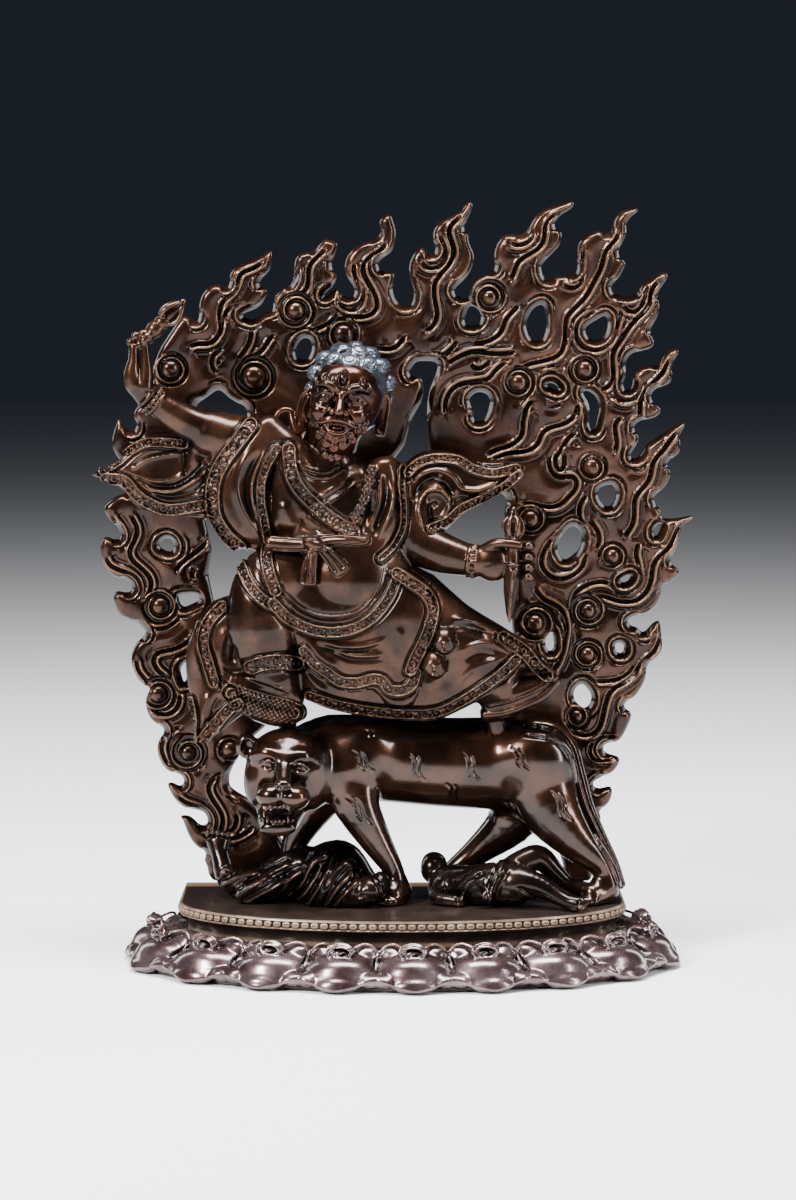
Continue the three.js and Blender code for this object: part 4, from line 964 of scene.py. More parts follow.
for corner_x, corner_z, eye_x in ((-49.6, 77.4, -49.6), (-37.6, 76.2, -37.6)):
    pellet(cat, eye_x, -22.2, corner_z, 3.2, 3, 2.3, blend=0.8, take=True)
    pellet(cat, eye_x, -20.6, corner_z, 2.1, 2.4, 1.9, blend=0.2)
    for up in (1, -1):
        limb(cat, [[eye_x - 3.4, -20.4, corner_z + 0.2, 0.5], [eye_x, -22.9, corner_z + 1.9 * up, 0.62],
                   [eye_x + 3.4, -20.8, corner_z - 0.2, 0.5]], blend=0.3)
    pellet(cat, eye_x, -23.1, corner_z, 0.8, 0.8, 0.8, blend=0.15, take=True)
pellet(cat, -43.8, -30.6, 71.2, 3.4, 2.2, 2.3, blend=0.8)
pellet(cat, -45.3, -32.4, 70.6, 0.9, 1.2, 0.7, blend=0.3, take=True)
pellet(cat, -42.3, -32.4, 70.4, 0.9, 1.2, 0.7, blend=0.3, take=True)
for tooth in range(8):
    turn = (tooth - 3.5) / 3.5
    x0, y0 = -46 + 5.9 * turn, -27.6 + 3.2 * turn**2
    long = 1.8 if tooth in (1, 6) else 1
    pellet(cat, x0, y0, 63.6 - 0.6 * long, 0.72, 0.75, 1.1 * long, blend=0.15)
    pellet(cat, x0 * 0.9 - 4.6, y0 + 3, 56.4 + 0.5 * long, 0.66, 0.7, 0.95 * long, blend=0.15)
for side, ear_x, ear_y, ear_z in ((-1, -58, -8, 83), (1, -31, -5, 81)):
    pellet(cat, ear_x, ear_y, ear_z, 4.2, 2.8, 4.8, blend=1.2)
    pellet(cat, ear_x - 0.3 * side, ear_y - 2.6, ear_z - 0.3, 2.6, 2.2, 3.2, blend=0.6, take=True)

# %% Stripes and the creases of the tail
STRIPES = [
    # ends of the left line of each pair: x, z, x, z
    (-14.8, 88.6, -11.5, 86), (-19.2, 81.5, -12.2, 73.5), (2.2, 80.2, 6.6, 69.6), (22.2, 80.5, 27.3, 69.6),
    (40.5, 82.6, 45.6, 74.4), (-20.8, 64.2, -13.4, 54.2), (37, 62, 45.5, 53.4), (55.8, 66, 61.6, 55),
    (16.6, 68.4, 20.2, 60.6), (30.2, 89.6, 33.6, 85.6), (8.4, 90.6, 12, 87),
]
x, z = cat.axes[0][:, None], cat.axes[2][None, :]
skin = np.zeros((x.size, z.size), np.float32)
for x0, z0, x1, z1 in STRIPES:
    for shift, start, end in ((0, 0, 0.92), (2.1, 0.1, 1)):
        t = np.linspace(start, end, 9)
        wave = 0.9 * np.sin(2 * math.pi * t)
        path = np.stack([x0 + (x1 - x0) * t + shift + wave, z0 + (z1 - z0) * t + 0.25 * wave], axis=1)
        across, along = along_curve(x, z, path, 3)
        length = math.hypot(x1 - x0, z1 - z0)
        thin = np.sqrt(np.clip(np.sin(np.clip(along / (length * 0.95), 0.02, 0.99) * math.pi), 0, 1))
        skin -= 0.7 * bump(across, 0.4) * thin
        skin += 0.2 * bump(np.abs(across) - 0.8, 0.35) * thin
tail = smooth_path([[47, 88], [57, 86], [63, 80], [66, 70], [69, 59], [74, 48], [79, 38], [83, 28]])
across, _ = along_curve(x, z, tail, 4)
skin -= 0.7 * (bump(across - 1.2, 0.45) + bump(across + 1.2, 0.45))
cat.field -= skin[:, None, :]
cat.field[:, :, cat.axes[2] < FLOOR + CASTING_GAP] = REACH
tigress = cast(cat, "tigress_bronze", 90000)
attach(tigress, "root")
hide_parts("tigress")

# %% [markdown]
# Two figures lie under the tigress. On the left one a foot is thrown up behind, cloth lies over the hips
# and two knees, and a small head rests beside the forepaw. The right one lies on its back with both legs
# drawn up. They are small, so simple rolls give the bodies, and cloth folds and toes are drawn and pressed
# on.

# %% The left figure
left = Clay((-84, -26, 22), (0, 24, 56), 0.4)
for stations in (
    [[-70, 12, 44, 4.6, 3], [-69, 10, 38, 3.4, 3.4], [-65, 6, 30, 5, 5], [-54, 0, 28, 7, 6]],
    [[-54, 2, 28, 7, 6], [-44, 0, 32, 9, 8], [-34, -2, 36, 8, 8], [-31, -6, 27, 8, 8]],
    [[-40, 8, 30, 8], [-24, 8, 38, 7], [-16, 4, 29, 7]],
    [[-32, -8, 29, 8], [-22, -12, 29, 7], [-14, -14, 28, 5]],
):
    limb(left, stations, blend=3)
for toe in range(5):
    pellet(left, -73.6 + 1.9 * toe, 9.5, 47.6 - 0.35 * abs(toe - 1), 1.15, 1.8, 1.5, blend=0.5)
limb(left, [[-47, -9, 30, 1.6, 3], [-38, -11, 36, 2.2, 3], [-29, -10, 41, 2.2, 3]], blend=1.5)
limb(left, [[-30, -11, 27, 3.4, 3], [-26, -13, 33, 3.2, 3], [-21, -11, 38, 2.4, 3]], blend=1.5)
limb(left, [[-60, -6, 26, 5, 3], [-50, -9, 30, 3, 3], [-40, -10, 33, 2, 2]], blend=2)
pellet(left, -11.5, -14, 29.5, 6, 6.5, 5.6, blend=1)
pellet(left, -8.2, -11.5, 31.5, 4.2, 4.8, 4.6, blend=0.8)
pellet(left, -14.4, -18.8, 29.6, 1, 1.2, 1.5, blend=0.5)
pellet(left, -16.4, -16.8, 30.8, 1.1, 0.9, 0.6, blend=0.3)
pellet(left, -12.6, -19.3, 30.9, 1.1, 0.9, 0.6, blend=0.3)
pellet(left, -15, -18.6, 26.9, 1.6, 1, 0.5, blend=0.3)
x, z = left.axes[0][:, None], left.axes[2][None, :]
folds = np.zeros((x.size, z.size), np.float32)
for path in (
    [(-62, 26), (-52, 33), (-43, 38)], [(-58, 24), (-48, 30), (-38, 36)], [(-44, 24), (-38, 31), (-33, 40)],
    [(-40, 24), (-35, 30), (-30, 38)], [(-35, 24), (-31, 31), (-26, 40)], [(-28, 24), (-24, 31), (-19, 36)],
    [(-25, 24), (-21, 29), (-17, 33)], [(-68, 33), (-63, 37), (-57, 38)], [(-67, 29), (-60, 33), (-54, 34)],
    [(-50, 24), (-45, 28), (-42, 33)],
):
    across, _ = along_curve(x, z, smooth_path(path), 4)
    folds += 0.9 * bump(across, 0.8) - 0.9 * bump(across - 1.6, 0.7)
across, _ = along_curve(x, z, smooth_path([(-11, 34.5), (-8.5, 31), (-8, 27)]), 3)
folds -= 0.5 * bump(across, 0.5) + 0.4 * bump(across - 1.5, 0.4)
left.field -= folds[:, None, :] * ease(6, 2, left.axes[1])[None, :, None]
left.field[:, :, left.axes[2] < FLOOR + CASTING_GAP] = REACH
fallen_left = cast(left, "fallen_left_bronze", 50000)

# %% The right figure
right_clay = Clay((4, -32, 22), (76, 16, 48), 0.4)
for stations, blend in (
    ([[15, 4, 29, 7, 6], [26, -4, 29, 8, 8], [37, -10, 31, 8.5, 8], [43, -14, 31, 7.5, 7]], 3),
    ([[37, -12, 31, 6, 6], [44, -15, 32.5, 5.8, 5.8], [52, -17, 31, 4.5, 4.5], [60, -21, 27, 2.8, 2.8],
      [65, -24, 25.4, 3.2, 2]], 2.5),
    ([[36, -4, 31, 6, 6], [46, -3, 38, 5.2, 5.2], [52, -2, 39.5, 4.8, 4.8], [58, -3, 34, 3.6, 3.6],
      [63, -4, 30, 2.8, 2.8], [69, -6, 28, 3.2, 2]], 2.5),
    ([[18, 0, 30, 4], [13, -8, 26, 3], [22, -14, 25, 2.5]], 1.5),
    ([[20, 0, 32, 4, 4], [27, -9, 34, 3.2, 3.2], [33, -15, 30, 2.6, 2.6], [31, -18, 27, 2.4, 2]], 1),
):
    limb(right_clay, stations, blend=blend)
pellet(right_clay, 12, 6, 34, 5, 5, 5.5, blend=1)
pellet(right_clay, 12.2, 7.5, 36, 4.8, 4.6, 4.4, blend=0.8)
pellet(right_clay, 14.4, 1.8, 33.4, 0.9, 1, 1.4, blend=0.5)
for toe in range(5):
    pellet(right_clay, 66.2 + 0.5 * toe, -27.6 + 1.5 * toe, 25.2 + 0.2 * toe, 1.5, 0.85, 0.95, blend=0.4)
    pellet(right_clay, 71.4 + 0.2 * toe, -8.6 + 1.3 * toe, 27.6 + 0.2 * toe, 1.3, 0.75, 0.9, blend=0.4)
x, z = right_clay.axes[0][:, None], right_clay.axes[2][None, :]
folds = np.zeros((x.size, z.size), np.float32)
for path in ([(33, 24), (33.5, 31), (37, 39)], [(35, 24), (36, 31), (40, 38)],
             [(22, 26), (25, 31), (30, 34)], [(44, 30), (48, 27), (53, 25)]):
    across, _ = along_curve(x, z, smooth_path(path), 4)
    folds += 0.5 * bump(across, 0.6) - 0.6 * bump(across - 1.3, 0.6)
right_clay.field -= folds[:, None, :] * ease(2, -4, right_clay.axes[1])[None, :, None]
right_clay.field[:, :, right_clay.axes[2] < FLOOR + CASTING_GAP] = REACH
fallen_right = cast(right_clay, "fallen_right_bronze", 50000)
for piece, node in ((fallen_left, "fallen_figure_left"), (fallen_right, "fallen_figure_right")):
    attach(piece, "root")
    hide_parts(node)

# %% [markdown]
# The protector strides to the left with one arm raised. Under the robe are a trunk, two bent legs and two
# arms; over them hang a cape, two flying sleeves, a skirt, an apron and a coat tail. Folds and borders are
# drawn where they are seen, so a helper turns a place in the picture and a depth into a place in the room.

# %% From the picture to the room
PHOTO_WIDTH, PHOTO_HEIGHT = 796, 1200
FOCAL_PIXELS = camera.data.lens / camera.data.sensor_width * PHOTO_HEIGHT


def seen(points, depth):
    """Places [x, z, ...] in mm for pixels [across, down, ...] of the picture at one depth."""
    points = np.asarray(points, float)
    u = (points[:, 0] - PHOTO_WIDTH / 2) / FOCAL_PIXELS
    v = (PHOTO_HEIGHT / 2 - points[:, 1]) / FOCAL_PIXELS
    eye_y = -CAMERA_DISTANCE * math.cos(CAMERA_TILT)
    eye_z = CAMERA_TARGET[2] + CAMERA_DISTANCE * math.sin(CAMERA_TILT)
    far = (depth - eye_y) / (math.cos(CAMERA_TILT) + v * math.sin(CAMERA_TILT))
    x = CAMERA_TARGET[0] + far * u
    z = eye_z + far * (v * math.cos(CAMERA_TILT) - math.sin(CAMERA_TILT))
    return np.column_stack([x, z, points[:, 2:]])


print("the middle of the picture:", seen([(398, 600)], 0))


# %% Cloth on the drawing board
class Board:
    """The front of a clay, with the height of folds and borders."""

    def __init__(self, clay, depth):
        self.x, self.z = clay.axes[0][:, None], clay.axes[2][None, :]
        self.height = np.zeros((self.x.size, self.z.size), np.float32)
        self.depth = depth

    def near(self, pixels, reach=6):
        path = smooth_path(seen(pixels, self.depth))
        length = np.hypot(*np.diff(path[:, :2], axis=0).T).sum()
        across, along = along_curve(self.x, self.z, path, reach)
        return across, along, length

    def fold(self, pixels, height=1, width=1.2, taper=0.25):
        """A rounded fold that fades at both ends."""
        across, along, length = self.near(pixels, width * 3 + 1)
        fade = ease(0, taper, along / length) * ease(1, 1 - taper, along / length)
        self.height += height * bump(across, width) * fade

    def line(self, pixels, height=0.5, width=0.5):
        """A fine raised hem line with a groove on each side."""
        across, _, _ = self.near(pixels, 4)
        self.height += height * ridge_and_grooves(across, width * 0.8, 0.35)

    def step(self, pixels, height=1.2, width=7):
        """One layer of cloth lying over another: high on the left of the path."""
        across, along, length = self.near(pixels, width)
        fade = ease(0, 0.08, along / length) * ease(1, 0.92, along / length)
        side = ease(-0.35, 0.35, across) - 0.5
        self.height += height * side * ease(width, 0, np.abs(across)) * fade

    def border(self, pixels, half, raised=0.7, scroll=True):
        """A hem band with a rim on both sides and a running scroll between."""
        across, along, length = self.near(pixels, half + 3)
        near = np.abs(across)
        on = ease(half + 0.25, half - 0.25, near)
        self.height = self.height * (1 - 0.75 * on) + raised * on
        self.height += 0.45 * bump(near - half + 0.45, 0.32) - 0.55 * bump(near - half - 0.45, 0.45)
        if scroll:
            self.height += on * ease(half - 0.5, half - 0.9, near) * scroll_relief(across, along, half)


SPIRAL_PITCH = 1.45     # coarser than the casting's own vine, which would not show
LEAF_PITCH = 2


def scroll_relief(across, along, half):
    """A running vine: spirals on alternate sides, with leaves between them."""
    pitch = 2.3 * half
    turn = np.floor(along / pitch)
    side = np.where(turn % 2 == 0, 1, -1)
    u = along - (turn + 0.5) * pitch
    v = across * side
    radius = np.hypot(u, v - 0.1 * half)
    angle = np.arctan2(v - 0.1 * half, u) / (2 * math.pi)
    spiral = np.cos(2 * math.pi * (radius / SPIRAL_PITCH - angle))
    inside = ease(0.95 * half, 0.8 * half, radius)
    leaf = np.cos(2 * math.pi * (u * 0.8 + v) / LEAF_PITCH)
    return 0.42 * (spiral * inside + 0.5 * leaf * (1 - inside)) - 0.4


def carve(clay, board, front=None, back=None):
    """Sink the board's drawing into the clay, down to a depth where it fades."""
    near = board.height[:, None, :]
    if front is not None:
        near = near * ease(back, front, clay.axes[1])[None, :, None]
    clay.field -= near


def band_ring(clay, centre, axis, radius, thick, beads=0):
    """A ring round an arm, plain or of beads."""
    axis = np.asarray(axis, float) / np.linalg.norm(axis)
    first = np.cross(axis, (0, 1, 0))
    first /= np.linalg.norm(first)
    second = np.cross(axis, first)
    turns = np.linspace(0, 2 * math.pi, (beads or 20) + 1)
    spots = [np.asarray(centre) + radius * (math.cos(t) * first + math.sin(t) * second) for t in turns]
    if beads:
        for spot in spots[:-1]:
            pellet(clay, *spot, thick, blend=0.2)
    else:
        limb(clay, [[*spot, thick] for spot in spots], blend=0.2, per_span=1, dome=1)


# %% [markdown]
# The upper half first: the trunk, the cape over the shoulders, the flying sleeves, both arms with their
# bracelets, the thunderbolt in the raised hand and the dagger in the other.

# %% The upper body
upper = Clay((-118, -28, 126), (50, 14, 252), 0.42)
for stations, blend in (
    ([[-31, 1, 187, 16, 11], [-30, 0, 178, 22, 14], [-26, -1, 165, 24, 16], [-21, -3, 150, 25, 17],
      [-19, -3, 137, 24, 16]], 3),
    ([[-28, 0, 189, 9], [-25, -3, 198, 9]], 3),
    ([[-48, 1, 190, 11, 10], [-60, -2, 197, 9, 8.5], [-73, -4, 201, 7.5, 7.5]], 3),
    ([[0, 0, 176, 10], [5, -4, 161, 9], [14, -7, 155, 7], [25, -9, 152, 5.2]], 2),
):
    limb(upper, stations, blend=blend)
pellet(upper, -19, -9, 145.5, 18, 13, 13.5, blend=2)
print("trunk cells:", upper.field.size)

# %% Cape and sleeves
CAPE_LEFT = [[-59, 204], [-52, 202], [-46, 195], [-45, 182], [-47, 168], [-49, 156], [-57, 157],
             [-64, 157], [-70, 165], [-74, 173], [-74, 182], [-71, 192], [-65, 201]]
SLEEVE_LEFT = [[-71, 194], [-77, 197], [-87, 199], [-96, 198], [-102, 194], [-106, 189], [-115, 184.6],
               [-115, 183.6], [-108, 181], [-104, 178], [-100, 173], [-94, 170], [-85, 169], [-70, 169]]
CAPE_RIGHT = [[-7, 190], [1, 186], [4, 178], [2, 167], [-1, 158], [-6, 152], [-12, 156]]
SLEEVE_RIGHT = [[-2, 184], [2, 189], [9, 193], [20, 192], [29, 189], [40, 189], [46, 187], [45, 183],
                [39, 179], [29, 174], [22, 169], [16, 163], [9, 161], [0, 164]]
sheet(upper, SLEEVE_LEFT, -5.5, 5, edge=2.2, blend=2)
sheet(upper, SLEEVE_RIGHT, -6.5, 6, edge=2.2, blend=2)
sheet(upper, CAPE_LEFT, -13, 9, edge=5, blend=3)
sheet(upper, CAPE_RIGHT, -12, 8, edge=4, blend=3)
limb(upper, [[-52, -6, 200, 8, 6], [-40, -9, 186, 9, 7], [-44, -8, 168, 8, 7]], blend=3)
limb(upper, [[-8, -8, 187, 5, 5], [-6, -10, 172, 6, 6], [-9, -10, 158, 5, 6]], blend=3)

# %% Folds and borders of the upper robe
board = Board(upper, -13)
for pixels, height, width in (
    # the hanging folds of the cape at the left
    ([(259, 442), (243, 462), (237, 484), (240, 503), (250, 522), (262, 540)], 1.5, 1.5),
    ([(262, 450), (251, 470), (246, 488), (249, 508), (258, 528)], -1.3, 1.1),
    ([(270, 446), (258, 466), (252, 486), (254, 506), (262, 530)], 1.2, 1),
    ([(276, 452), (271, 478), (272, 505), (272, 532)], -1.2, 1.2),
    ([(232, 540), (244, 548), (262, 550)], 0.9, 1),
    # the right chest's long folds
    ([(379, 465), (379, 495), (373, 517), (366, 534)], 1.3, 1.3),
    ([(386, 470), (386, 498), (380, 520), (371, 538)], -1.3, 1),
    ([(394, 480), (393, 503), (386, 523), (376, 541)], 1.4, 1.2),
    ([(316, 499), (331, 489), (354, 473)], 0.5, 0.5),
    ([(318, 503), (334, 493), (357, 477)], -0.6, 0.5),
    ([(320, 507), (337, 497), (358, 482)], 0.5, 0.5),
    ([(300, 512), (306, 524), (324, 533)], -0.8, 1.2),
    ([(282, 500), (288, 516), (296, 530)], 0.8, 2),
):
    board.fold(pixels, height, width)
board.border([(250, 425), (238, 441), (223, 461), (214, 480), (212, 500), (215, 519), (226, 536),
              (240, 549)], 2.9)
board.border([(277, 448), (266.5, 466), (261, 484), (261, 502), (264, 520), (268, 541)], 1.8)
board.border([(289, 449), (291, 470), (300, 489), (315, 505), (334, 520), (354, 531)], 2.7)
board.line([(283, 445), (281, 463), (288, 482), (303, 501), (320, 515), (340, 528), (356, 536)])
board.border([(403, 468), (402, 486), (404, 511), (402, 530), (392.5, 547), (381, 557)], 1.5)
board.line([(299, 462), (309, 470), (325, 473), (338, 467)])
board.line([(300, 466), (310, 476), (328, 478), (344, 470)])
carve(upper, board, -6, 0)

# %% The flying sleeves' folds
wings = Board(upper, -5)
for pixels, height, width in (
    ([(130, 471), (144, 461), (160, 456), (182, 453)], 0.7, 0.6),
    ([(132, 467), (146, 456), (162, 452), (182, 449)], -0.6, 0.6),
    ([(184, 456), (183, 470), (176, 478), (156, 481), (139, 476), (130, 471)], 0.7, 0.6),
    ([(134, 474), (150, 486), (175, 486), (194, 474), (206, 460)], -1.2, 1),
    ([(136, 478), (154, 490), (176, 490), (198, 478), (212, 464)], 1.3, 1.1),
    ([(150, 492), (172, 497), (196, 491), (208, 478)], -0.9, 0.8),
    ([(188, 434), (186, 455), (184, 477)], -1, 1),
    ([(195, 436), (196, 460), (206, 476)], 1, 1.6),
    # the right sleeve: a rolled inner edge and two nested curls
    ([(412, 482), (424, 473), (438, 470), (452, 476), (462, 488), (478, 490), (500, 482)], 1.6, 1.3),
    ([(412, 500), (420, 486), (434, 478), (448, 486), (452, 498)], -1.5, 1.5),
    ([(424, 530), (419, 508), (426, 492), (440, 490), (450, 500), (446, 514), (436, 518)], 1.4, 1),
    ([(432, 524), (430, 508), (438, 502)], -1.2, 1),
    ([(441, 474), (437, 484), (446, 488)], 0.9, 0.9),
    ([(448, 506), (460, 496), (480, 495)], -1, 1.2),
):
    wings.fold(pixels, height, width, taper=0.12)
wings.border([(103, 470), (118, 461), (131, 450), (145, 443), (160, 442), (184, 444)], 2)
wings.border([(106, 479), (124, 481), (136, 494), (152, 505), (172, 510), (203, 505)], 2.4)
wings.border([(408, 472), (420, 462), (438, 458), (458, 460), (474, 469), (494, 473), (516, 468)], 2)
wings.border([(432, 527), (448, 521), (462, 508), (482, 499), (502, 488), (519, 474)], 1.9)
carve(upper, wings, -2, 1)

# %% The flower chain, the sash and its bow
for pixel_x, pixel_y in ((372, 470), (370, 480), (367, 490), (364, 500), (360, 509), (356, 518),
                         (352, 527)):
    x0, z0 = seen([(pixel_x, pixel_y)], -17)[0, :2]
    for petal in range(6):
        turn = petal * math.pi / 3
        pellet(upper, x0 + 1.5 * math.cos(turn), -16.2, z0 + 1.5 * math.sin(turn), 0.85, 1.4, 0.85,
               blend=0.2)
    pellet(upper, x0, -16.6, z0, 0.8, 1.6, 0.8, blend=0.2)


def ribbon(clay, pixels, depth, half_deep, blend=0.8):
    """A flat roll along pixels [across, down, half width in mm]."""
    path = seen(pixels, depth)
    limb(clay, [[px, depth, pz, half, half_deep] for px, pz, half in path], blend=blend)


ribbon(upper, [(270, 543, 2.6), (290, 545, 2.6), (312, 544, 2.5), (340, 541, 2.4), (366, 540, 2.2)],
       -17.5, 2.6)
ribbon(upper, [(309, 541, 2.6), (317, 546, 2.6)], -20, 3)
ribbon(upper, [(313, 548, 2), (311, 560, 2.6), (309, 572, 3.1), (308, 583, 3.3)], -20.6, 1.8, blend=0.3)
ribbon(upper, [(318, 546, 1.8), (327, 553, 2.6), (335, 562, 3.1), (342, 571, 3.3)], -21, 1.8, blend=0.3)
bow = Board(upper, -21)
for pixels in ([(313, 549), (312, 565), (312, 584)], [(308, 556), (305, 570), (303, 584)],
               [(319, 548), (329, 560), (337, 573)], [(323, 547), (334, 557), (345, 569)]):
    bow.fold(pixels, -0.9, 0.6, taper=0.1)
for pixels in ([(271, 537), (306, 539), (336, 536), (365, 538)],
               [(273, 551), (302, 552), (337, 547), (366, 544)]):
    bow.line(pixels, 0.4)
carve(upper, bow, -16, -13)

# %% The raised arm, its hand and the thunderbolt
limb(upper, [[-66, -4, 198, 8.2, 8.2], [-72, -4, 200, 8.4, 8.2]], blend=1)
limb(upper, [[-70, -4, 200, 7, 7], [-80, -6, 204, 6.4, 6.2], [-88, -8, 209, 5.4, 5.2],
             [-95, -9.5, 214.5, 4.2, 4]],
     blend=0.6)
band_ring(upper, (-94.2, -9.4, 213.6), (-0.72, -0.17, 0.62), 4.7, 0.9)
band_ring(upper, (-92.6, -9, 212.2), (-0.72, -0.17, 0.62), 5.3, 1, beads=16)
band_ring(upper, (-91.2, -8.7, 211), (-0.72, -0.17, 0.62), 5.3, 0.8)
limb(upper, [[-95, -9.5, 214.5, 4.2, 4], [-97.4, -11, 218, 4.8, 4.2]], blend=1.5)
limb(upper, [[-98.8, -12, 218, 3.6, 3.4], [-99.7, -12.4, 222, 3.1, 3], [-99, -12.8, 227, 2.1, 2.2],
             [-98.9, -12.8, 232, 1.8, 1.8]], blend=0.5)
limb(upper, [[-95, -12.5, 217, 3.2, 3.2], [-94.3, -13, 222, 2.6, 2.6], [-94.4, -13.4, 228, 1.8, 1.9],
             [-94.8, -13.6, 233, 1.6, 1.7]], blend=0.5)
limb(upper, [[-97.2, -16, 217, 0.6, 0.6], [-97, -16, 222, 0.7, 1.4], [-96.8, -15, 231, 0.8, 3]],
     blend=0.4, take=True)
for tip_x, tip_y, tip_z, size in ((-100, -12.4, 233.6, 1.7), (-98.2, -13.2, 235.8, 1.7),
                                  (-95.5, -13.8, 236.6, 1.6), (-92.8, -14.4, 236.2, 1.5),
                                  (-94.9, -14.4, 234.2, 1.7)):
    pellet(upper, tip_x, tip_y, tip_z, size, blend=0.3)
start, end = np.array([-97, -12.5, 232.5]), np.array([-80.6, -12.5, 248.4])
BOLT = [(0, 1.6), (0.14, 1.7), (0.17, 2.9), (0.22, 2.9), (0.25, 1.9), (0.30, 1.9), (0.33, 3.2), (0.39, 3.2),
        (0.42, 2), (0.47, 2), (0.50, 2.9), (0.54, 2.9), (0.57, 2.2), (0.70, 2.5), (0.80, 2.2), (0.93, 1.5),
        (1, 1.2)]
limb(upper, [[*(start + t * (end - start)), r] for t, r in BOLT], blend=0.3, per_span=2, dome=0.9)
way = (end - start) / np.linalg.norm(end - start)
side, back = np.cross(way, (0, 1, 0)), np.array([0, 1, 0])
for prong in range(4):
    turn = prong * math.pi / 2 + 0.6
    out = math.cos(turn) * side + math.sin(turn) * back
    spots = [start + t * (end - start) + out * spread for t, spread in
             ((0.54, 1.6), (0.64, 4), (0.76, 4.2), (0.88, 2.6), (0.95, 1.2))]
    limb(upper, [[*spot, 0.9] for spot in spots], blend=0.3)

# %% The lower arm, its hand and the dagger
limb(upper, [[8, -5, 158, 8.2, 8.2], [16, -7.5, 155, 7.2, 7], [25, -9, 152.6, 5.8, 5.6],
             [28, -9.5, 152.2, 5, 4.8]],
     blend=0.5)
band_ring(upper, (25.2, -9.3, 152.4), (1, -0.15, -0.1), 5.7, 0.9)
band_ring(upper, (26.8, -9.5, 152.3), (1, -0.15, -0.1), 5.6, 1, beads=16)
band_ring(upper, (28.3, -9.7, 152.2), (1, -0.15, -0.1), 5.4, 0.9)
limb(upper, [[28, -9.5, 152.2, 4.8, 4.6], [31, -11, 152.3, 6, 4.6]], blend=1.2)
pellet(upper, 33.6, -12.2, 152.2, 6.6, 4.4, 7.2, blend=1.2)
limb(upper, [[30.5, -16.4, 151, 0.5], [34, -17.2, 152.4, 0.5], [37.6, -16, 155.4, 0.5]], blend=0.4,
     take=True)
limb(upper, [[29.6, -12.5, 156, 2.4, 2.2], [34.6, -15, 159.2, 2, 2], [39, -16.8, 159.4, 1.7, 1.7],
             [43.6, -16.8, 158.8, 1.5, 1.5]], blend=0.5)
for level in (158.4, 154.3, 150.4, 146.9):
    # A finger comes round from behind the grip, and only its end shows
    limb(upper, [[43.4, -9, level, 1.7, 1.7], [47.4, -10.6, level, 1.8, 1.8], [47.4, -14, level, 1.9, 1.8],
                 [46.2, -15.2, level, 1.5, 1.5]], blend=0.3)
limb(upper, [[41.4, -14, 172.4, 0.8], [41.2, -14, 170.5, 1.7], [41.2, -14, 168.6, 1.2]], blend=0.3)
for rib in range(6):
    turn = rib * math.pi / 3
    limb(upper, [[41.2 + spread * math.cos(turn), -14 + spread * math.sin(turn), level, 0.8]
                 for level, spread in ((169.6, 0.8), (167.6, 3), (165, 3.6), (162.4, 2.8), (161, 1.2))],
         blend=0.2)
limb(upper, [[41.2, -14, 168, 1.6], [41.2, -14, 160, 2.2], [41, -14, 149, 2.6]], blend=0.3)
for level, size in ((160.6, 3), (159.2, 2.4), (151.4, 3.4), (149.8, 3)):
    pellet(upper, 41, -14, level, size, size, 0.9, blend=0.4)
BLADE = [(37.6, 150), (44.4, 150), (43.6, 144), (41.2, 133), (39.8, 129.4), (38.6, 133), (37.6, 141)]
sheet(upper, BLADE, lambda bx, bz: -17.5 + 0.9 * np.abs(bx - 40.6 + 0.06 * (150 - bz)), -11.5, edge=0.8,
      blend=0.5, smooth=False)

# %% The upper body in metal
UPPER_CUT = 127     # the lower half covers this cut
upper.field[:, :, upper.axes[2] < UPPER_CUT] = REACH
protector_upper = cast(upper, "protector_upper", 150000)

# %% [markdown]
# The lower half: the bent knee with its boot at the left, the long stride to the right under a bell of
# skirt, the apron with its waved hem over it, and the coat tail that blows out behind at the left.

# %% The lower body
lower = Clay((-84, -27, 84), (62, 17, 160), 0.4)
for stations, blend in (
    ([[-21, -3, 150, 23, 15], [-19, -3, 137, 24, 15]], 3),
    ([[-34, -3, 147, 15, 14], [-49, -9, 144, 13, 13], [-52, -12, 128, 13, 12], [-49, -10, 115, 10.5, 10]],
     3),
    ([[-49, -10, 115, 10], [-46, -6, 103, 8]], 2),
    ([[-8, -2, 137, 17, 15], [10, -5, 127, 15, 14], [25, -5, 116, 12, 12], [36, -4, 106, 9, 9]], 3),
):
    limb(lower, stations, blend=blend)
SKIRT = [[-38, 150], [-40, 124], [-38, 104], [-32, 98], [-17, 94], [-1, 92], [12, 92], [22, 96],
         [31, 101], [40, 109], [56, 112], [44, 123], [23, 136], [4, 150]]
APRON = [[-44, 144], [-38, 117], [-28, 108], [-19, 104], [-11, 105], [-5, 99], [1, 98], [6, 103],
         [11, 122], [14, 130], [12, 137], [2, 150], [-30, 150]]
TAILS = [[-48, 140], [-67, 138], [-74, 133], [-80, 122], [-81, 112], [-80, 103], [-78, 90], [-79, 77.5],
         [-77.6, 77.5], [-70, 86], [-60, 94], [-52, 100], [-48, 112]]
sheet(lower, TAILS, -6.5, 6, edge=2.2, blend=2)
sheet(lower, SKIRT, -15, 12, edge=6, blend=3)
sheet(lower, APRON, lambda ax, az: -17.5 - 2.5 * bump(np.hypot(ax + 18, (az - 132) * 1.3), 24)
      - 1.5 * bump(np.hypot(ax - 2, az - 132), 9), -6, edge=1.6, blend=0.6)
pellet(lower, -19, -9, 145.5, 18, 13, 13.5, blend=1)

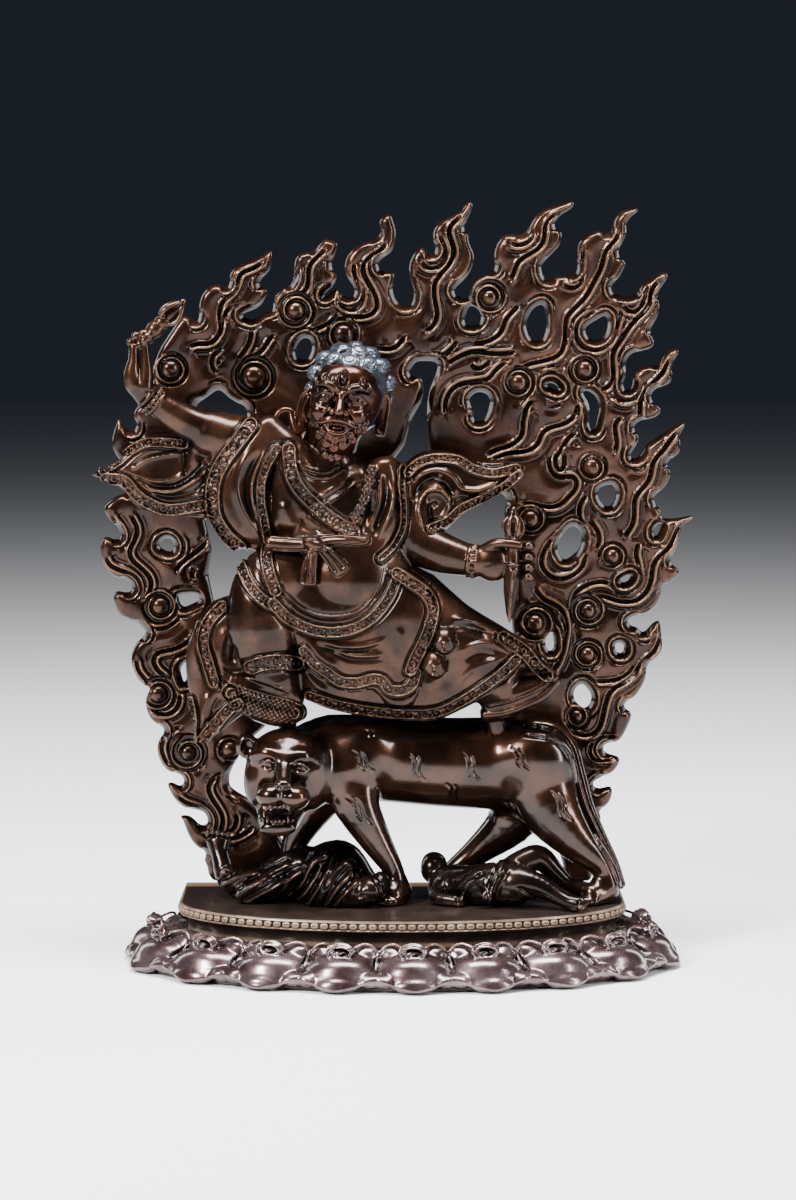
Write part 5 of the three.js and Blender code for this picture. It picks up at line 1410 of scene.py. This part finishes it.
# %% Boots
for stations, blend in (
    ([[-43, -5, 98, 8, 7.5], [-50, -8, 101, 7.5, 8], [-58, -11, 104.5, 5.6, 7],
      [-64.5, -13.5, 108.4, 2.6, 4.4]], 2),
    ([[34, -3, 100, 7, 6.8], [42, -4, 102, 6.2, 7], [50, -5, 104.5, 4.6, 6], [56.5, -6, 108.2, 2.4, 3.6]],
     2),
):
    limb(lower, stations, blend=blend)
LEFT_SOLE = [[-66, -14, 106.4, 2.6, 4.6], [-60, -12.4, 100.5, 3.8, 7], [-52, -10, 96.4, 4.6, 8],
             [-44, -6, 94.6, 4.6, 7.6], [-38.5, -4, 95.6, 3.6, 5.5]]
RIGHT_SOLE = [[31.5, -2.5, 94.6, 3, 6], [38, -3.2, 95.4, 3, 6.8], [46, -4.4, 98.4, 2.6, 6.8],
              [53, -5.4, 102.2, 2.2, 5.4], [58, -6, 107.6, 1.6, 3.4]]
limb(lower, LEFT_SOLE, blend=0.4)
limb(lower, RIGHT_SOLE, blend=0.4)
limb(lower, [[-43, -2, 95, 3.8, 3.8], [-43, -1, 88, 3.2, 3.4]], blend=0.8)
limb(lower, [[34.5, -2, 95, 3.4], [36, -1, 88, 3.4]], blend=0.8)

# %% Two small heads hang from the apron's border
for centre_x, centre_z in ((15.5, 123), (11.8, 114.4)):
    pellet(lower, centre_x, -19.5, centre_z, 4.4, 4.6, 4.8, blend=0.3)
    pellet(lower, centre_x, -18.5, centre_z + 2.2, 4.4, 4.4, 3.4, blend=0.3)
    pellet(lower, centre_x, -23.8, centre_z - 0.6, 0.8, 1.2, 1.3, blend=0.4)
    pellet(lower, centre_x, -23.2, centre_z - 3, 1.5, 1, 0.5, blend=0.3)
    for side in (-1, 1):
        pellet(lower, centre_x + side * 1.8, -23, centre_z + 0.7, 1, 0.9, 0.5, blend=0.3)
        pellet(lower, centre_x + side * 4.4, -19, centre_z - 0.5, 0.8, 1.2, 1.6, blend=0.3)

# %% Folds and borders of the lower robe
board = Board(lower, -18)
for pixels, height, width in (
    ([(318, 640), (341, 646), (363, 646), (380, 641), (390, 635)], 0.9, 1),
    ([(316, 645), (341, 650), (364, 650), (382, 645)], -0.8, 0.8),
    ([(330, 645), (349, 654), (367, 656), (386, 654)], 0.9, 1),
    ([(328, 650), (349, 659), (368, 660), (386, 658)], -0.8, 0.8),
    ([(306, 638), (320, 658), (340, 668)], 0.8, 1.5),
    ([(398, 625), (402, 640), (398, 655), (394, 668)], 0.8, 1.6),
    ([(446, 619), (471, 621), (493, 631), (511, 640)], 1, 1.3),
    ([(448, 628), (470, 629), (490, 638)], -1, 1.2),
    ([(456, 654), (471, 646), (488, 644), (509, 652), (526, 664)], 0.9, 0.9),
    ([(462, 662), (480, 654), (500, 660)], -0.8, 1.2),
    ([(455, 690), (470, 672), (492, 662), (512, 657)], 0.8, 1.2),
    ([(425, 690), (440, 676), (452, 664)], 0.6, 1.6),
    ([(300, 660), (310, 680), (330, 696)], 0.8, 1.2),
):
    board.fold(pixels, height, width)
board.border([(268, 541), (266, 556), (270, 574), (276, 590)], 2.4)
board.border([(240, 566), (249, 583), (262, 597), (276, 606)], 2.2)
board.line([(280, 586), (293, 601), (313, 613), (333, 616), (353, 613), (368, 603), (379, 585),
            (383, 568)], 0.6)
board.border([(274, 602), (290, 619), (311, 629), (331, 632), (353, 628.5), (373, 617), (388.5, 598),
              (396, 581)], 2.2)
board.border([(304, 651), (313, 662), (327, 672), (341, 681.5), (357, 683), (372, 679), (382.5, 681),
              (389, 689), (400.5, 691), (411.5, 685), (416, 673)], 2.2)
board.border([(397, 573), (411, 582), (426, 593), (433, 607), (431, 622.5), (423, 643.5), (415.5, 658),
              (411, 670)], 2.4)
board.border([(309, 698), (339, 707), (373, 713), (406, 715.5), (432, 715), (452.5, 708), (478, 692.5),
              (505.5, 672), (516, 661)], 2.2)
board.border([(504, 639), (526, 654), (538, 669), (548, 678)], 2.6)
board.border([(251, 667), (262, 663), (280, 661), (297, 664)], 3)
carve(lower, board, -8, -3)

# %% The coat tail and the boots' lines
CROSSHATCH_PITCH = 1.9
tail_board = Board(lower, -6)
tail_board.border([(222, 606), (208, 622), (203, 642), (208, 662), (214, 682)], 2.4)
tail_board.border([(196, 752), (204, 738), (217, 722), (232, 706), (240, 700)], 2.4)
tail_board.border([(190, 700), (193, 716), (193, 738), (195, 752)], 1.6)
for pixels, height, width in (
    ([(228, 622), (220, 650), (226, 676)], 1.1, 1.6),
    ([(236, 640), (232, 665)], -1, 1.2),
    ([(212, 690), (204, 706), (203, 726)], 1, 1.1),
    ([(222, 694), (214, 708), (210, 726)], -1, 1),
    ([(198, 610), (195, 640), (198, 680)], 1, 1.3),
):
    tail_board.fold(pixels, height, width)
carve(lower, tail_board, -4, 0)
boots = Board(lower, -14)
boots.line([(222, 677), (236, 684), (262, 692), (288, 700), (300, 706)], 0.5)
boots.fold([(226, 674), (250, 678), (272, 684), (296, 696)], 0.6, 0.7)
boots.line([(489, 708), (512, 702), (540, 690), (560, 678)], 0.5)
sole = smooth_path(seen([(232, 692), (250, 701), (272, 708), (294, 714)], -14))
across, along = along_curve(boots.x, boots.z, sole, 7)
crossed = sum(np.cos(2 * math.pi * (along + way * across) / CROSSHATCH_PITCH) for way in (1, -1))
boots.height += 0.36 * crossed * ease(4.4, 3.6, np.abs(across)) * (np.abs(across) < 20)
carve(lower, boots, -7, -3)

# %% The lower body in metal
LOWER_CUT = 158.8   # inside the upper half
lower.field[:, :, lower.axes[2] > LOWER_CUT] = REACH
protector_lower = cast(lower, "protector_lower", 150000)

# %% [markdown]
# The head is the finest work, so it gets its own block of clay with smaller cells. Its place, tilt and hair
# follow the real piece. The face is the usual mask of a wrathful protector, drawn on plain proportions:
# three round eyes, flaming brows, a broad nose, bared teeth, a curled moustache and a beard of small curls.
# It is modelled on its own upright axes, in thirds of the face's height, and leans with the head.

# %% The head's axes
HEAD_LEAN = math.radians(8)
BETWEEN_EYES = np.array([-22.5, -16.4, 212.8])
HEAD_RIGHT = np.array([math.cos(HEAD_LEAN), 0, -math.sin(HEAD_LEAN)])
HEAD_UP = np.array([math.sin(HEAD_LEAN), 0, math.cos(HEAD_LEAN)])
HEAD_FRONT = np.array([0, -1, 0])
head = Clay((-50, -33, 187), (3, 18, 238), 0.25)
hair = Clay((-40, -22, 198), (3, 20, 238), 0.25)


def on_face(right, up, front):
    """A place in the room, from mm right, up and forward of the point between the eyes."""
    return BETWEEN_EYES + right * HEAD_RIGHT + up * HEAD_UP + front * HEAD_FRONT


def face_roll(points, blend=0.5, take=False):
    """A roll over the mask, from points [right, up, forward, radius]."""
    limb(head, [[*on_face(*point[:3]), point[3]] for point in points], blend=blend, take=take)


def face_pellet(right, up, front, a, b, c, blend=0.5, take=False):
    """A lump on the mask."""
    pellet(head, *on_face(right, up, front), a, b, c, blend=blend, take=take)


# %% The skull, jaw and neck
for stations in ([[-28, 0, 189, 9], [-26, -2, 196, 9.4]],
                 [[-25, -5.5, 200, 8.5, 8], [-22.5, -4.5, 207, 11.6, 12.4], [-20, -2.5, 216, 13.6, 14.4],
                  [-18.6, -1.5, 220.5, 11.4, 12]]):
    limb(head, stations, blend=4)
for side in (-1, 1):
    face_pellet(side * 6.4, -5.4, -1.4, 4.6, 4.4, 4.4, blend=2.5)
face_pellet(0, -12.6, -1.6, 5.6, 4.8, 4.2, blend=2.5)
face_pellet(0, 6.4, -4.6, 10.5, 6.2, 6, blend=3)

# %% Eyes, brows and the third eye
# The head is five eye widths across, so an eye stands one width each side of the middle
for side in (-1, 1):
    face_pellet(side * 5.6, 0, 2, 4.2, 3.4, 3.4, blend=1.4, take=True)
    face_pellet(side * 5.5, -0.1, -0.4, 3, 3, 2.8, blend=0.4)
    face_pellet(side * 5.3, -0.2, 2.7, 0.75, 0.7, 0.75, blend=0.15, take=True)
    face_roll([[side * 1.9, -0.9, 0.4, 0.55], [side * 3.6, 1.5, 2, 0.75], [side * 6.4, 1.9, 1.9, 0.75],
               [side * 9.4, -0.2, -0.8, 0.55]])
    face_roll([[side * 1.9, -0.9, 0.4, 0.5], [side * 3.8, -2.3, 1.4, 0.62], [side * 6.6, -2.4, 1.2, 0.62],
               [side * 9.4, -0.2, -0.8, 0.5]])
    face_roll([[side * 1.2, 2.2, 1.6, 1], [side * 3.4, 4, 2.2, 1.45], [side * 6.6, 4.9, 1.4, 1.35],
               [side * 9.8, 3.6, -1.6, 0.9]], blend=0.8)
    for start, lick in ((2.6, 3.6), (4.8, 4), (7, 3.6), (9.2, 2.6)):
        bottom = 3.6 + 0.25 * start if start < 7 else 7.4 - 0.35 * start
        face_roll([[side * start, bottom, 1.6 - 0.05 * start**1.6, 0.75],
                   [side * (start + 0.9), bottom + lick * 0.55, 1.3 - 0.05 * start**1.6, 0.6],
                   [side * (start + 0.3), bottom + lick, 0.7 - 0.06 * start**1.6, 0.3]], blend=0.35)
face_pellet(0, 7.2, 1.7, 2.4, 1.6, 3.2, blend=0.7, take=True)
face_pellet(0, 7.2, -0.3, 1.75, 1.7, 2.5, blend=0.3)
face_pellet(0, 7.2, 1.6, 0.6, 0.6, 0.7, blend=0.15, take=True)
for side in (-1, 1):
    face_roll([[0, 3.9, 1.5, 0.4], [side * 2.1, 6, 1.3, 0.6], [side * 2, 8.6, 0.9, 0.6],
               [0, 10.9, 0.3, 0.4]],
              blend=0.3)
face_roll([[-1.1, 2.6, 1.8, 0.7], [0, 1.4, 2.4, 0.8], [1.1, 2.6, 1.8, 0.7]])

# %% Nose, cheeks and mouth
face_roll([[0, 1.6, 0.9, 1.3], [0, -2.2, 3.2, 1.7], [0, -4.9, 5, 2]], blend=1.2)
for side in (-1, 1):
    face_pellet(side * 2.3, -5.1, 3.5, 1.6, 1.7, 1.4, blend=0.6)
    face_pellet(side * 1.3, -6.2, 4.7, 0.75, 0.9, 0.6, blend=0.25, take=True)
    face_roll([[side * 3.6, -3.9, 2.6, 0.6], [side * 5.4, -5.6, 2.6, 0.7], [side * 6.2, -8, 1.8, 0.5]])
    face_roll([[side * 4, -2.9, 1.6, 0.5], [side * 6.6, -3.2, 1.6, 0.6], [side * 8.8, -1.8, 0, 0.4]])
face_pellet(0, -10.2, 4.2, 4.6, 4.2, 2, blend=0.8, take=True)
face_pellet(0, -10.9, 0.9, 2.6, 1.9, 1, blend=0.4)
face_roll([[-4.8, -9.9, 1.8, 0.6], [-2.6, -8.3, 3.6, 0.75], [0, -7.9, 4.1, 0.75], [2.6, -8.3, 3.6, 0.75],
           [4.8, -9.9, 1.8, 0.6]], blend=0.4)
face_roll([[-4.6, -10.3, 1.6, 0.6], [-2.6, -12.2, 2.9, 0.85], [0, -12.7, 3.4, 0.9], [2.6, -12.2, 2.9, 0.85],
           [4.6, -10.3, 1.6, 0.6]], blend=0.4)
for tooth in range(7):
    spot = -3.3 + 1.1 * tooth
    face_pellet(spot, -9.2 - 0.1 * abs(spot), 3 - 0.09 * spot**2, 0.5, 0.5, 0.75, blend=0.12)
for side in (-1, 1):
    face_pellet(side * 3.3, -9.9, 2.6, 0.6, 0.6, 1.5, blend=0.15)
    # the moustache: two strands that curl up at their ends
    face_roll([[side * 0.7, -7.4, 4.2, 0.7], [side * 3.4, -8.2, 3.7, 0.9], [side * 6.2, -9.4, 2, 0.85],
               [side * 8.6, -8.6, 0.2, 0.7], [side * 9, -6.9, -0.2, 0.5], [side * 7.9, -6.6, 1, 0.4]],
              blend=0.3)
    face_roll([[side * 1, -7.1, 4.4, 0.4], [side * 3.6, -7.4, 3.9, 0.5], [side * 6.4, -8.3, 2.4, 0.45]],
              blend=0.2)

# %% A snail curl, and the beard
def curl(clay, centre, out, size, way=1, groove=0.34, windings=1.7, squash=1):
    """One snail curl: a button with a spiral groove, facing out."""
    centre, out = np.asarray(centre, float), np.asarray(out, float) / np.linalg.norm(out)
    first = np.cross(out, (0, 1, 0.2))
    first /= np.linalg.norm(first)
    second = np.cross(out, first) * way
    pellet(clay, *centre, size, size, size * squash, blend=0.25)
    turns = np.linspace(0.8, 2 * windings * math.pi, int(8 * windings))
    spots = []
    for t in turns:
        part = 0.86 * t / turns[-1]
        spots.append(centre + out * size * math.sqrt(1 - part**2)
                     + size * part * (math.cos(t) * first + math.sin(t) * second))
    limb(clay, [[*spot, groove] for spot in spots], blend=0.1, per_span=1, take=True, dome=1)


for row, (count, drop) in enumerate(((9, 0), (7, 3.2))):
    for k in range(count):
        turn = (k - (count - 1) / 2) / ((count - 1) / 2)
        place = on_face(turn * (9.8 - 0.9 * row), -14.8 - drop + 7.4 * abs(turn) ** 1.7,
                        1.4 - 6.2 * turn**2 - row * 0.6)
        curl(head, place, HEAD_FRONT * 1.4 + HEAD_RIGHT * turn - HEAD_UP * 0.35, 1.9,
             1 if turn > 0 else -1, 0.36)
for k in range(3):
    curl(head, on_face(-2.2 + 2.2 * k - 0.6, -21.4 - 0.6 * (1 - abs(k - 1)), 0.2),
         HEAD_FRONT - HEAD_UP * 0.4, 1.5)
limb(head, [[-25.5, -11, 199, 7, 4.6], [-27, -12.5, 194, 4.4, 3.6], [-27.6, -13, 192, 2.2, 2.4]], blend=1)

# %% The cap of large curls
DOME = np.array([-19.2, -0.6, 217.4])
DOME_RADIUS = 13.2
CURL_SIZE = 4.1
CURL_PITCH = 6.3
ROW_ANGLE = 26
pellet(hair, *(DOME + 1.2 * HEAD_UP), 14.2, 14.6, 13.4, blend=0)
pellet(hair, *(DOME + (0, 3.4, -5)), 13.4, 12.6, 14, blend=3)
pellet(hair, *on_face(0, -1, 1), 13.2, 10.6, 12.6, blend=0.6, take=True)
curls = 0
for row in range(6):
    polar = math.radians(ROW_ANGLE * row)
    count = max(1, round(2 * math.pi * math.sin(polar) * DOME_RADIUS / CURL_PITCH))
    for k in range(count):
        turn = 2 * math.pi * (k + 0.5 * (row % 2)) / count + 0.2
        out = (HEAD_RIGHT * math.cos(turn) + np.array([0, 1, 0]) * math.sin(turn)) * math.sin(polar) + (
            HEAD_UP * math.cos(polar))
        front = -math.sin(turn)
        lowest = 56 + 46 * ease(0.82, 0.1, front) + 60 * ease(0.1, -0.35, front)
        if math.degrees(polar) <= lowest:
            spot = DOME + out * DOME_RADIUS
            curl(hair, spot, out + HEAD_FRONT * 0.5 + HEAD_UP * 0.35, CURL_SIZE,
                 1 if math.cos(turn) > 0 else -1, 0.36, 2.8, 0.85)
            curls += 1
print("hair curls:", curls)
protector_hair = cast(hair, "protector_hair", 50000)

# %% Ears and the earring
for stations in ([[-34.5, -3, 214, 2.6, 3.6], [-36.8, -2.5, 206, 2.4, 3], [-37.8, -2.5, 198.5, 2.6, 3]],
                 [[-6.5, -1, 213, 2.4, 3.6], [-7.4, -1, 205, 2.2, 3], [-8.2, -1, 200, 2.4, 3]]):
    limb(head, stations, blend=0.8)
for stations in ([[-34.6, -6, 216, 0.7], [-37.6, -5, 213, 0.8], [-39.2, -4.5, 206, 0.7],
                  [-39.6, -4.6, 199, 0.8], [-37.6, -5.4, 196.6, 0.8], [-35.8, -5.2, 200, 0.6]],
                 [[-34.6, -6.4, 213, 0.5], [-36.6, -6, 209, 0.5], [-35.4, -6.4, 204, 0.5]],
                 [[-8, -5, 215.5, 0.7], [-5, -4, 212, 0.8], [-5.8, -4, 204, 0.7],
                  [-7, -4.4, 199, 0.8], [-9, -4.6, 201, 0.6]]):
    limb(head, stations, blend=0.3)
limb(head, [[-39, -5, 200, 1.8, 1.6], [-40.4, -4.4, 203.5, 1.3, 1.3], [-41.2, -3.4, 206.6, 1.3, 1.3]],
     blend=0.4)
ring_turns = np.linspace(0, 2 * math.pi, 21)
limb(head, [[-43.3 + 3.7 * math.cos(t), -3.4, 204.6 + 3.7 * math.sin(t), 1.25] for t in ring_turns],
     blend=0.2, per_span=1, dome=1)
for bead_x, bead_z, size in ((-45.8, 199.2, 1.4), (-44, 197.6, 1.5), (-46.4, 196.8, 1.2)):
    pellet(head, bead_x, -4, bead_z, size, blend=0.3)
protector_head = cast(head, "protector_head", 95000)
for piece in (protector_head, protector_hair, protector_upper, protector_lower):
    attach(piece, "root")
    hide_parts("protector")

# %% [markdown]
# Every casting is the same alloy, a brass-like bronze, chemically browned and then waxed and handled for a
# long time. One function mixes that finish, and each casting gives its own colours. Hollows are painted
# nearly black, as dark patina and as painted shade; fine ridges are painted paler, as rubbing and as a
# painted highlight; broad ridges are rubbed through to warm copper, and the wax gives a pale gloss over the
# dark metal.

# %% A finish in its parts
def linear(hex_colour):
    """The linear colour of an sRGB hex value."""
    parts = [int(hex_colour[i:i + 2], 16) / 255 for i in (1, 3, 5)]
    return (*[c / 12.92 if c <= 0.04045 else ((c + 0.055) / 1.055) ** 2.4 for c in parts], 1)


def add(tree, kind, settings=None, links=None):
    """Add a node, set it up and link it."""
    node = tree.nodes.new(kind)
    for key, value in (settings or {}).items():
        if isinstance(key, int) or key in node.inputs:
            node.inputs[key].default_value = value
        else:
            setattr(node, key, value)
    for key, source in (links or {}).items():
        tree.links.new(source, node.inputs[key])
    return node


def blend_colour(tree, factor, below, above):
    """Mix two colours or colour sockets by a factor socket."""
    node = add(tree, "ShaderNodeMix", {"data_type": "RGBA"})
    tree.links.new(factor, node.inputs[0])
    for socket, value in ((6, below), (7, above)):
        if isinstance(value, str):
            node.inputs[socket].default_value = linear(value)
        else:
            tree.links.new(value, node.inputs[socket])
    return node.outputs[2]


def rise(tree, socket, low, high, most=1.0):
    """A value that climbs from 0 to most between two levels of a socket."""
    node = add(tree, "ShaderNodeMapRange", {"interpolation_type": "SMOOTHSTEP", "From Min": low,
                                            "From Max": high, "To Min": 0.0, "To Max": most},
               {"Value": socket})
    return node.outputs[0]


# %% The bronze patina
GRAZING_LIGHT = "#6b574b"       # darker than clean metal at grazing angles, as browned bronze is
WAX_ROUGHNESS = 0.15


def bronze_patina(name, body, light, hollow, wire, worn, dust_and_shade, gloss=0.24, wear_and_highlight=0.8, dust_and_shade_amount=0.3, grain=0.25,
                  metal=0.75, coat=0.3):
    """Browned bronze: mottled body, hollows painted dark as patina and painted shade, fine ridges painted
    paler as rubbing and painted highlight, rubbed tips, and dirt and painted shade in broad hollows.
    """
    material = bpy.data.materials.new(name)
    material.use_nodes = True
    tree = material.node_tree
    shader = tree.nodes["Principled BSDF"]
    place = add(tree, "ShaderNodeTexCoord").outputs["Object"]
    fine = add(tree, "ShaderNodeAttribute", {"attribute_name": "hollow"}).outputs["Fac"]
    broad = add(tree, "ShaderNodeAttribute", {"attribute_name": "deep"}).outputs["Fac"]
    # Clouds of the browning bath, about 12 mm across, and small blots of 2 mm
    clouds = add(tree, "ShaderNodeTexNoise", {"Scale": 85.0, "Detail": 3.0}, {"Vector": place})
    blots = add(tree, "ShaderNodeTexNoise", {"Scale": 480.0, "Detail": 4.0, "Roughness": 0.6},
                {"Vector": place})
    colour = blend_colour(tree, rise(tree, clouds.outputs[0], 0.35, 0.68), body, light)
    colour = blend_colour(tree, rise(tree, blots.outputs[0], 0.52, 0.75, 0.4), colour, hollow)
    # Broad hollows take the colour given for them: dirt caught there, and painted shade where that colour is
    # near black
    colour = blend_colour(tree, rise(tree, broad, 0.1, 1.0, dust_and_shade_amount), colour, dust_and_shade)
    # Fine hollows are painted near black: dark patina in the grooves, and painted shade
    colour = blend_colour(tree, rise(tree, fine, 0.05, 1.2, 0.9), colour, hollow)
    # Fine ridges are painted the paler wire colour: rubbing, and a painted highlight along the raised rims
    colour = blend_colour(tree, rise(tree, fine, -0.5, -2.0, wear_and_highlight * 0.6), colour, wire)
    colour = blend_colour(tree, rise(tree, broad, -1.6, -3.2, wear_and_highlight), colour, worn)
    tree.links.new(colour, shader.inputs["Base Color"])
    # Pits of the casting skin, under half a millimetre
    pits = add(tree, "ShaderNodeTexNoise", {"Scale": 2600.0, "Detail": 2.0}, {"Vector": place})
    skin = add(tree, "ShaderNodeBump", {"Strength": grain, "Distance": 0.00012},
               {"Height": pits.outputs[0]})
    tree.links.new(skin.outputs[0], shader.inputs["Normal"])
    rough = add(tree, "ShaderNodeMapRange", {"From Min": 0.3, "From Max": 0.7, "To Min": gloss,
                                             "To Max": gloss + 0.09}, {"Value": blots.outputs[0]})
    tree.links.new(rough.outputs[0], shader.inputs["Roughness"])
    shader.inputs["Metallic"].default_value = metal
    shader.inputs["Specular Tint"].default_value = linear(GRAZING_LIGHT)
    shader.inputs["Coat Weight"].default_value = coat
    shader.inputs["Coat Roughness"].default_value = WAX_ROUGHNESS
    return material


# %% The finish of each casting
# Browned and waxed flame plate: warm brown faces, dark grooves and coppery rubbed ridges
FLAME_FINISH = bronze_patina("waxed_brown_bronze_flames", "#20120d", "#382218", "#090504", "#8a6d55",
                             "#96583a", "#150e0b", gloss=0.24, wear_and_highlight=0.75)
# Thick polished wax on near-black bronze: deep gloss with long sharp lights along the back
TIGRESS_FINISH = bronze_patina("waxed_dark_bronze_tigress", "#1b0f0a", "#382217", "#080504", "#604231",
                               "#93593a", "#150e0b", gloss=0.18, wear_and_highlight=0.75, coat=0.6)
# Dust rubbed into wax on the plinth's top and beads: tan, even and almost matt
PLINTH_FINISH = bronze_patina("dusty_tan_bronze_plinth", "#54473e", "#7b6b5d", "#120b09", "#9a7c64",
                              "#94775f", "#42362f", gloss=0.36, wear_and_highlight=0.6, metal=0.3)
# Plum-brown bronze, handled smooth: the petals' round backs shine, and their volutes are painted dark as
# patina and painted shade
PETAL_FINISH = bronze_patina("glossy_plum_bronze_petals", "#3a2929", "#655556", "#0b0606", "#a98472",
                             "#a5735c", "#1f1617", gloss=0.22, wear_and_highlight=0.85, coat=1.0)
# Nearly black bronze that no hand reaches: dark, with a thin gloss on knees and folds
FALLEN_FINISH = bronze_patina("dark_bronze_fallen_figures", "#150e0b", "#2b1f19", "#090605", "#6b4f3f",
                              "#8a5f48", "#15100e", gloss=0.2, wear_and_highlight=0.6)
# Browned bronze with dust caught in the borders: soft lights on the folds, pale vine work
ROBE_FINISH = bronze_patina("waxed_bronze_robe", "#1f120d", "#3b261b", "#0b0705", "#7d624d",
                            "#93664b", "#2f241d", gloss=0.25, wear_and_highlight=0.6, dust_and_shade_amount=0.6)
# Redder browned bronze under clear wax: small bright lights on a dark, warm face
HEAD_FINISH = bronze_patina("red_brown_bronze_head", "#1f0f0a", "#3b2015", "#0a0504", "#7d6048",
                            "#452a1e", "#1c100b", gloss=0.2, wear_and_highlight=0.4)
# Remains of mineral blue in the wax over the curls: cool grey buttons with dark spirals
HAIR_FINISH = bronze_patina("blue_grey_bronze_hair", "#26292f", "#474c56", "#0b0c10", "#8b919c",
                            "#474c56", "#17191e", gloss=0.22, wear_and_highlight=0.5, metal=0.6, coat=0.7)
FINISHES = (
    (aureole, FLAME_FINISH), (drum, PLINTH_FINISH), (beads, PLINTH_FINISH), (foot, PLINTH_FINISH),
    (petals, PETAL_FINISH), (tigress, TIGRESS_FINISH), (fallen_left, FALLEN_FINISH),
    (fallen_right, FALLEN_FINISH), (protector_upper, ROBE_FINISH), (protector_lower, ROBE_FINISH),
    (protector_head, HEAD_FINISH), (protector_hair, HAIR_FINISH),
)
for piece, finish in FINISHES:
    piece.data.materials.append(finish)

# %% [markdown]
# The studio is dark, with a pale table: dark metal shows its form by what it reflects, so most of the room
# gives it a near-black ground, and soft boxes draw the lights on it. The key stands at the upper left, a
# narrow strip at the right, one box overhead lights every ledge that faces up, and two strips stand behind.

# %% Stage and lights
bpy.ops.mesh.primitive_plane_add(size=12, location=(0, 1.5, 0))
floor = bpy.context.object
floor.name = "studio_table"
# Uncoated white paper: matt and even, so the table takes only a soft shadow
paper = bpy.data.materials.new("matt_white_paper")
paper.use_nodes = True
paper.node_tree.nodes["Principled BSDF"].inputs["Base Color"].default_value = linear("#e9e9ea")
paper.node_tree.nodes["Principled BSDF"].inputs["Roughness"].default_value = 0.85
floor.data.materials.append(paper)

SOFT_BOXES = [
    # name, place, aim, width, height, watts
    ("key_left", (-0.75, -0.75, 0.75), (0, 0, 0.13), 0.22, 0.38, 38),
    ("strip_right", (0.8, -0.45, 0.35), (0, 0, 0.13), 0.1, 0.7, 9),
    ("overhead", (0.0, -0.12, 0.95), (0, 0, 0.1), 0.7, 0.3, 36),
    ("strip_back_left", (-0.75, 0.6, 0.5), (0, 0, 0.13), 0.2, 0.7, 4),
    ("strip_back_right", (0.75, 0.6, 0.5), (0, 0, 0.13), 0.2, 0.7, 4),
]
for name, place, aim, width, height, watts in SOFT_BOXES:
    bpy.ops.object.light_add(type="AREA", location=place)
    lamp = bpy.context.object
    lamp.name = name
    lamp.data.shape = "RECTANGLE"
    lamp.data.size = width
    lamp.data.size_y = height
    lamp.data.energy = watts
    gaze = np.array(aim) - np.array(place)
    lamp.rotation_euler = (
        math.atan2(math.hypot(gaze[0], gaze[1]), -gaze[2]), 0, math.atan2(gaze[1], gaze[0]) - math.pi / 2,
    )

world = bpy.data.worlds.new("dark_studio")
bpy.context.scene.world = world
world.use_nodes = True
world.node_tree.nodes["Background"].inputs["Color"].default_value = linear("#343a44")
world.node_tree.nodes["Background"].inputs["Strength"].default_value = 0.42
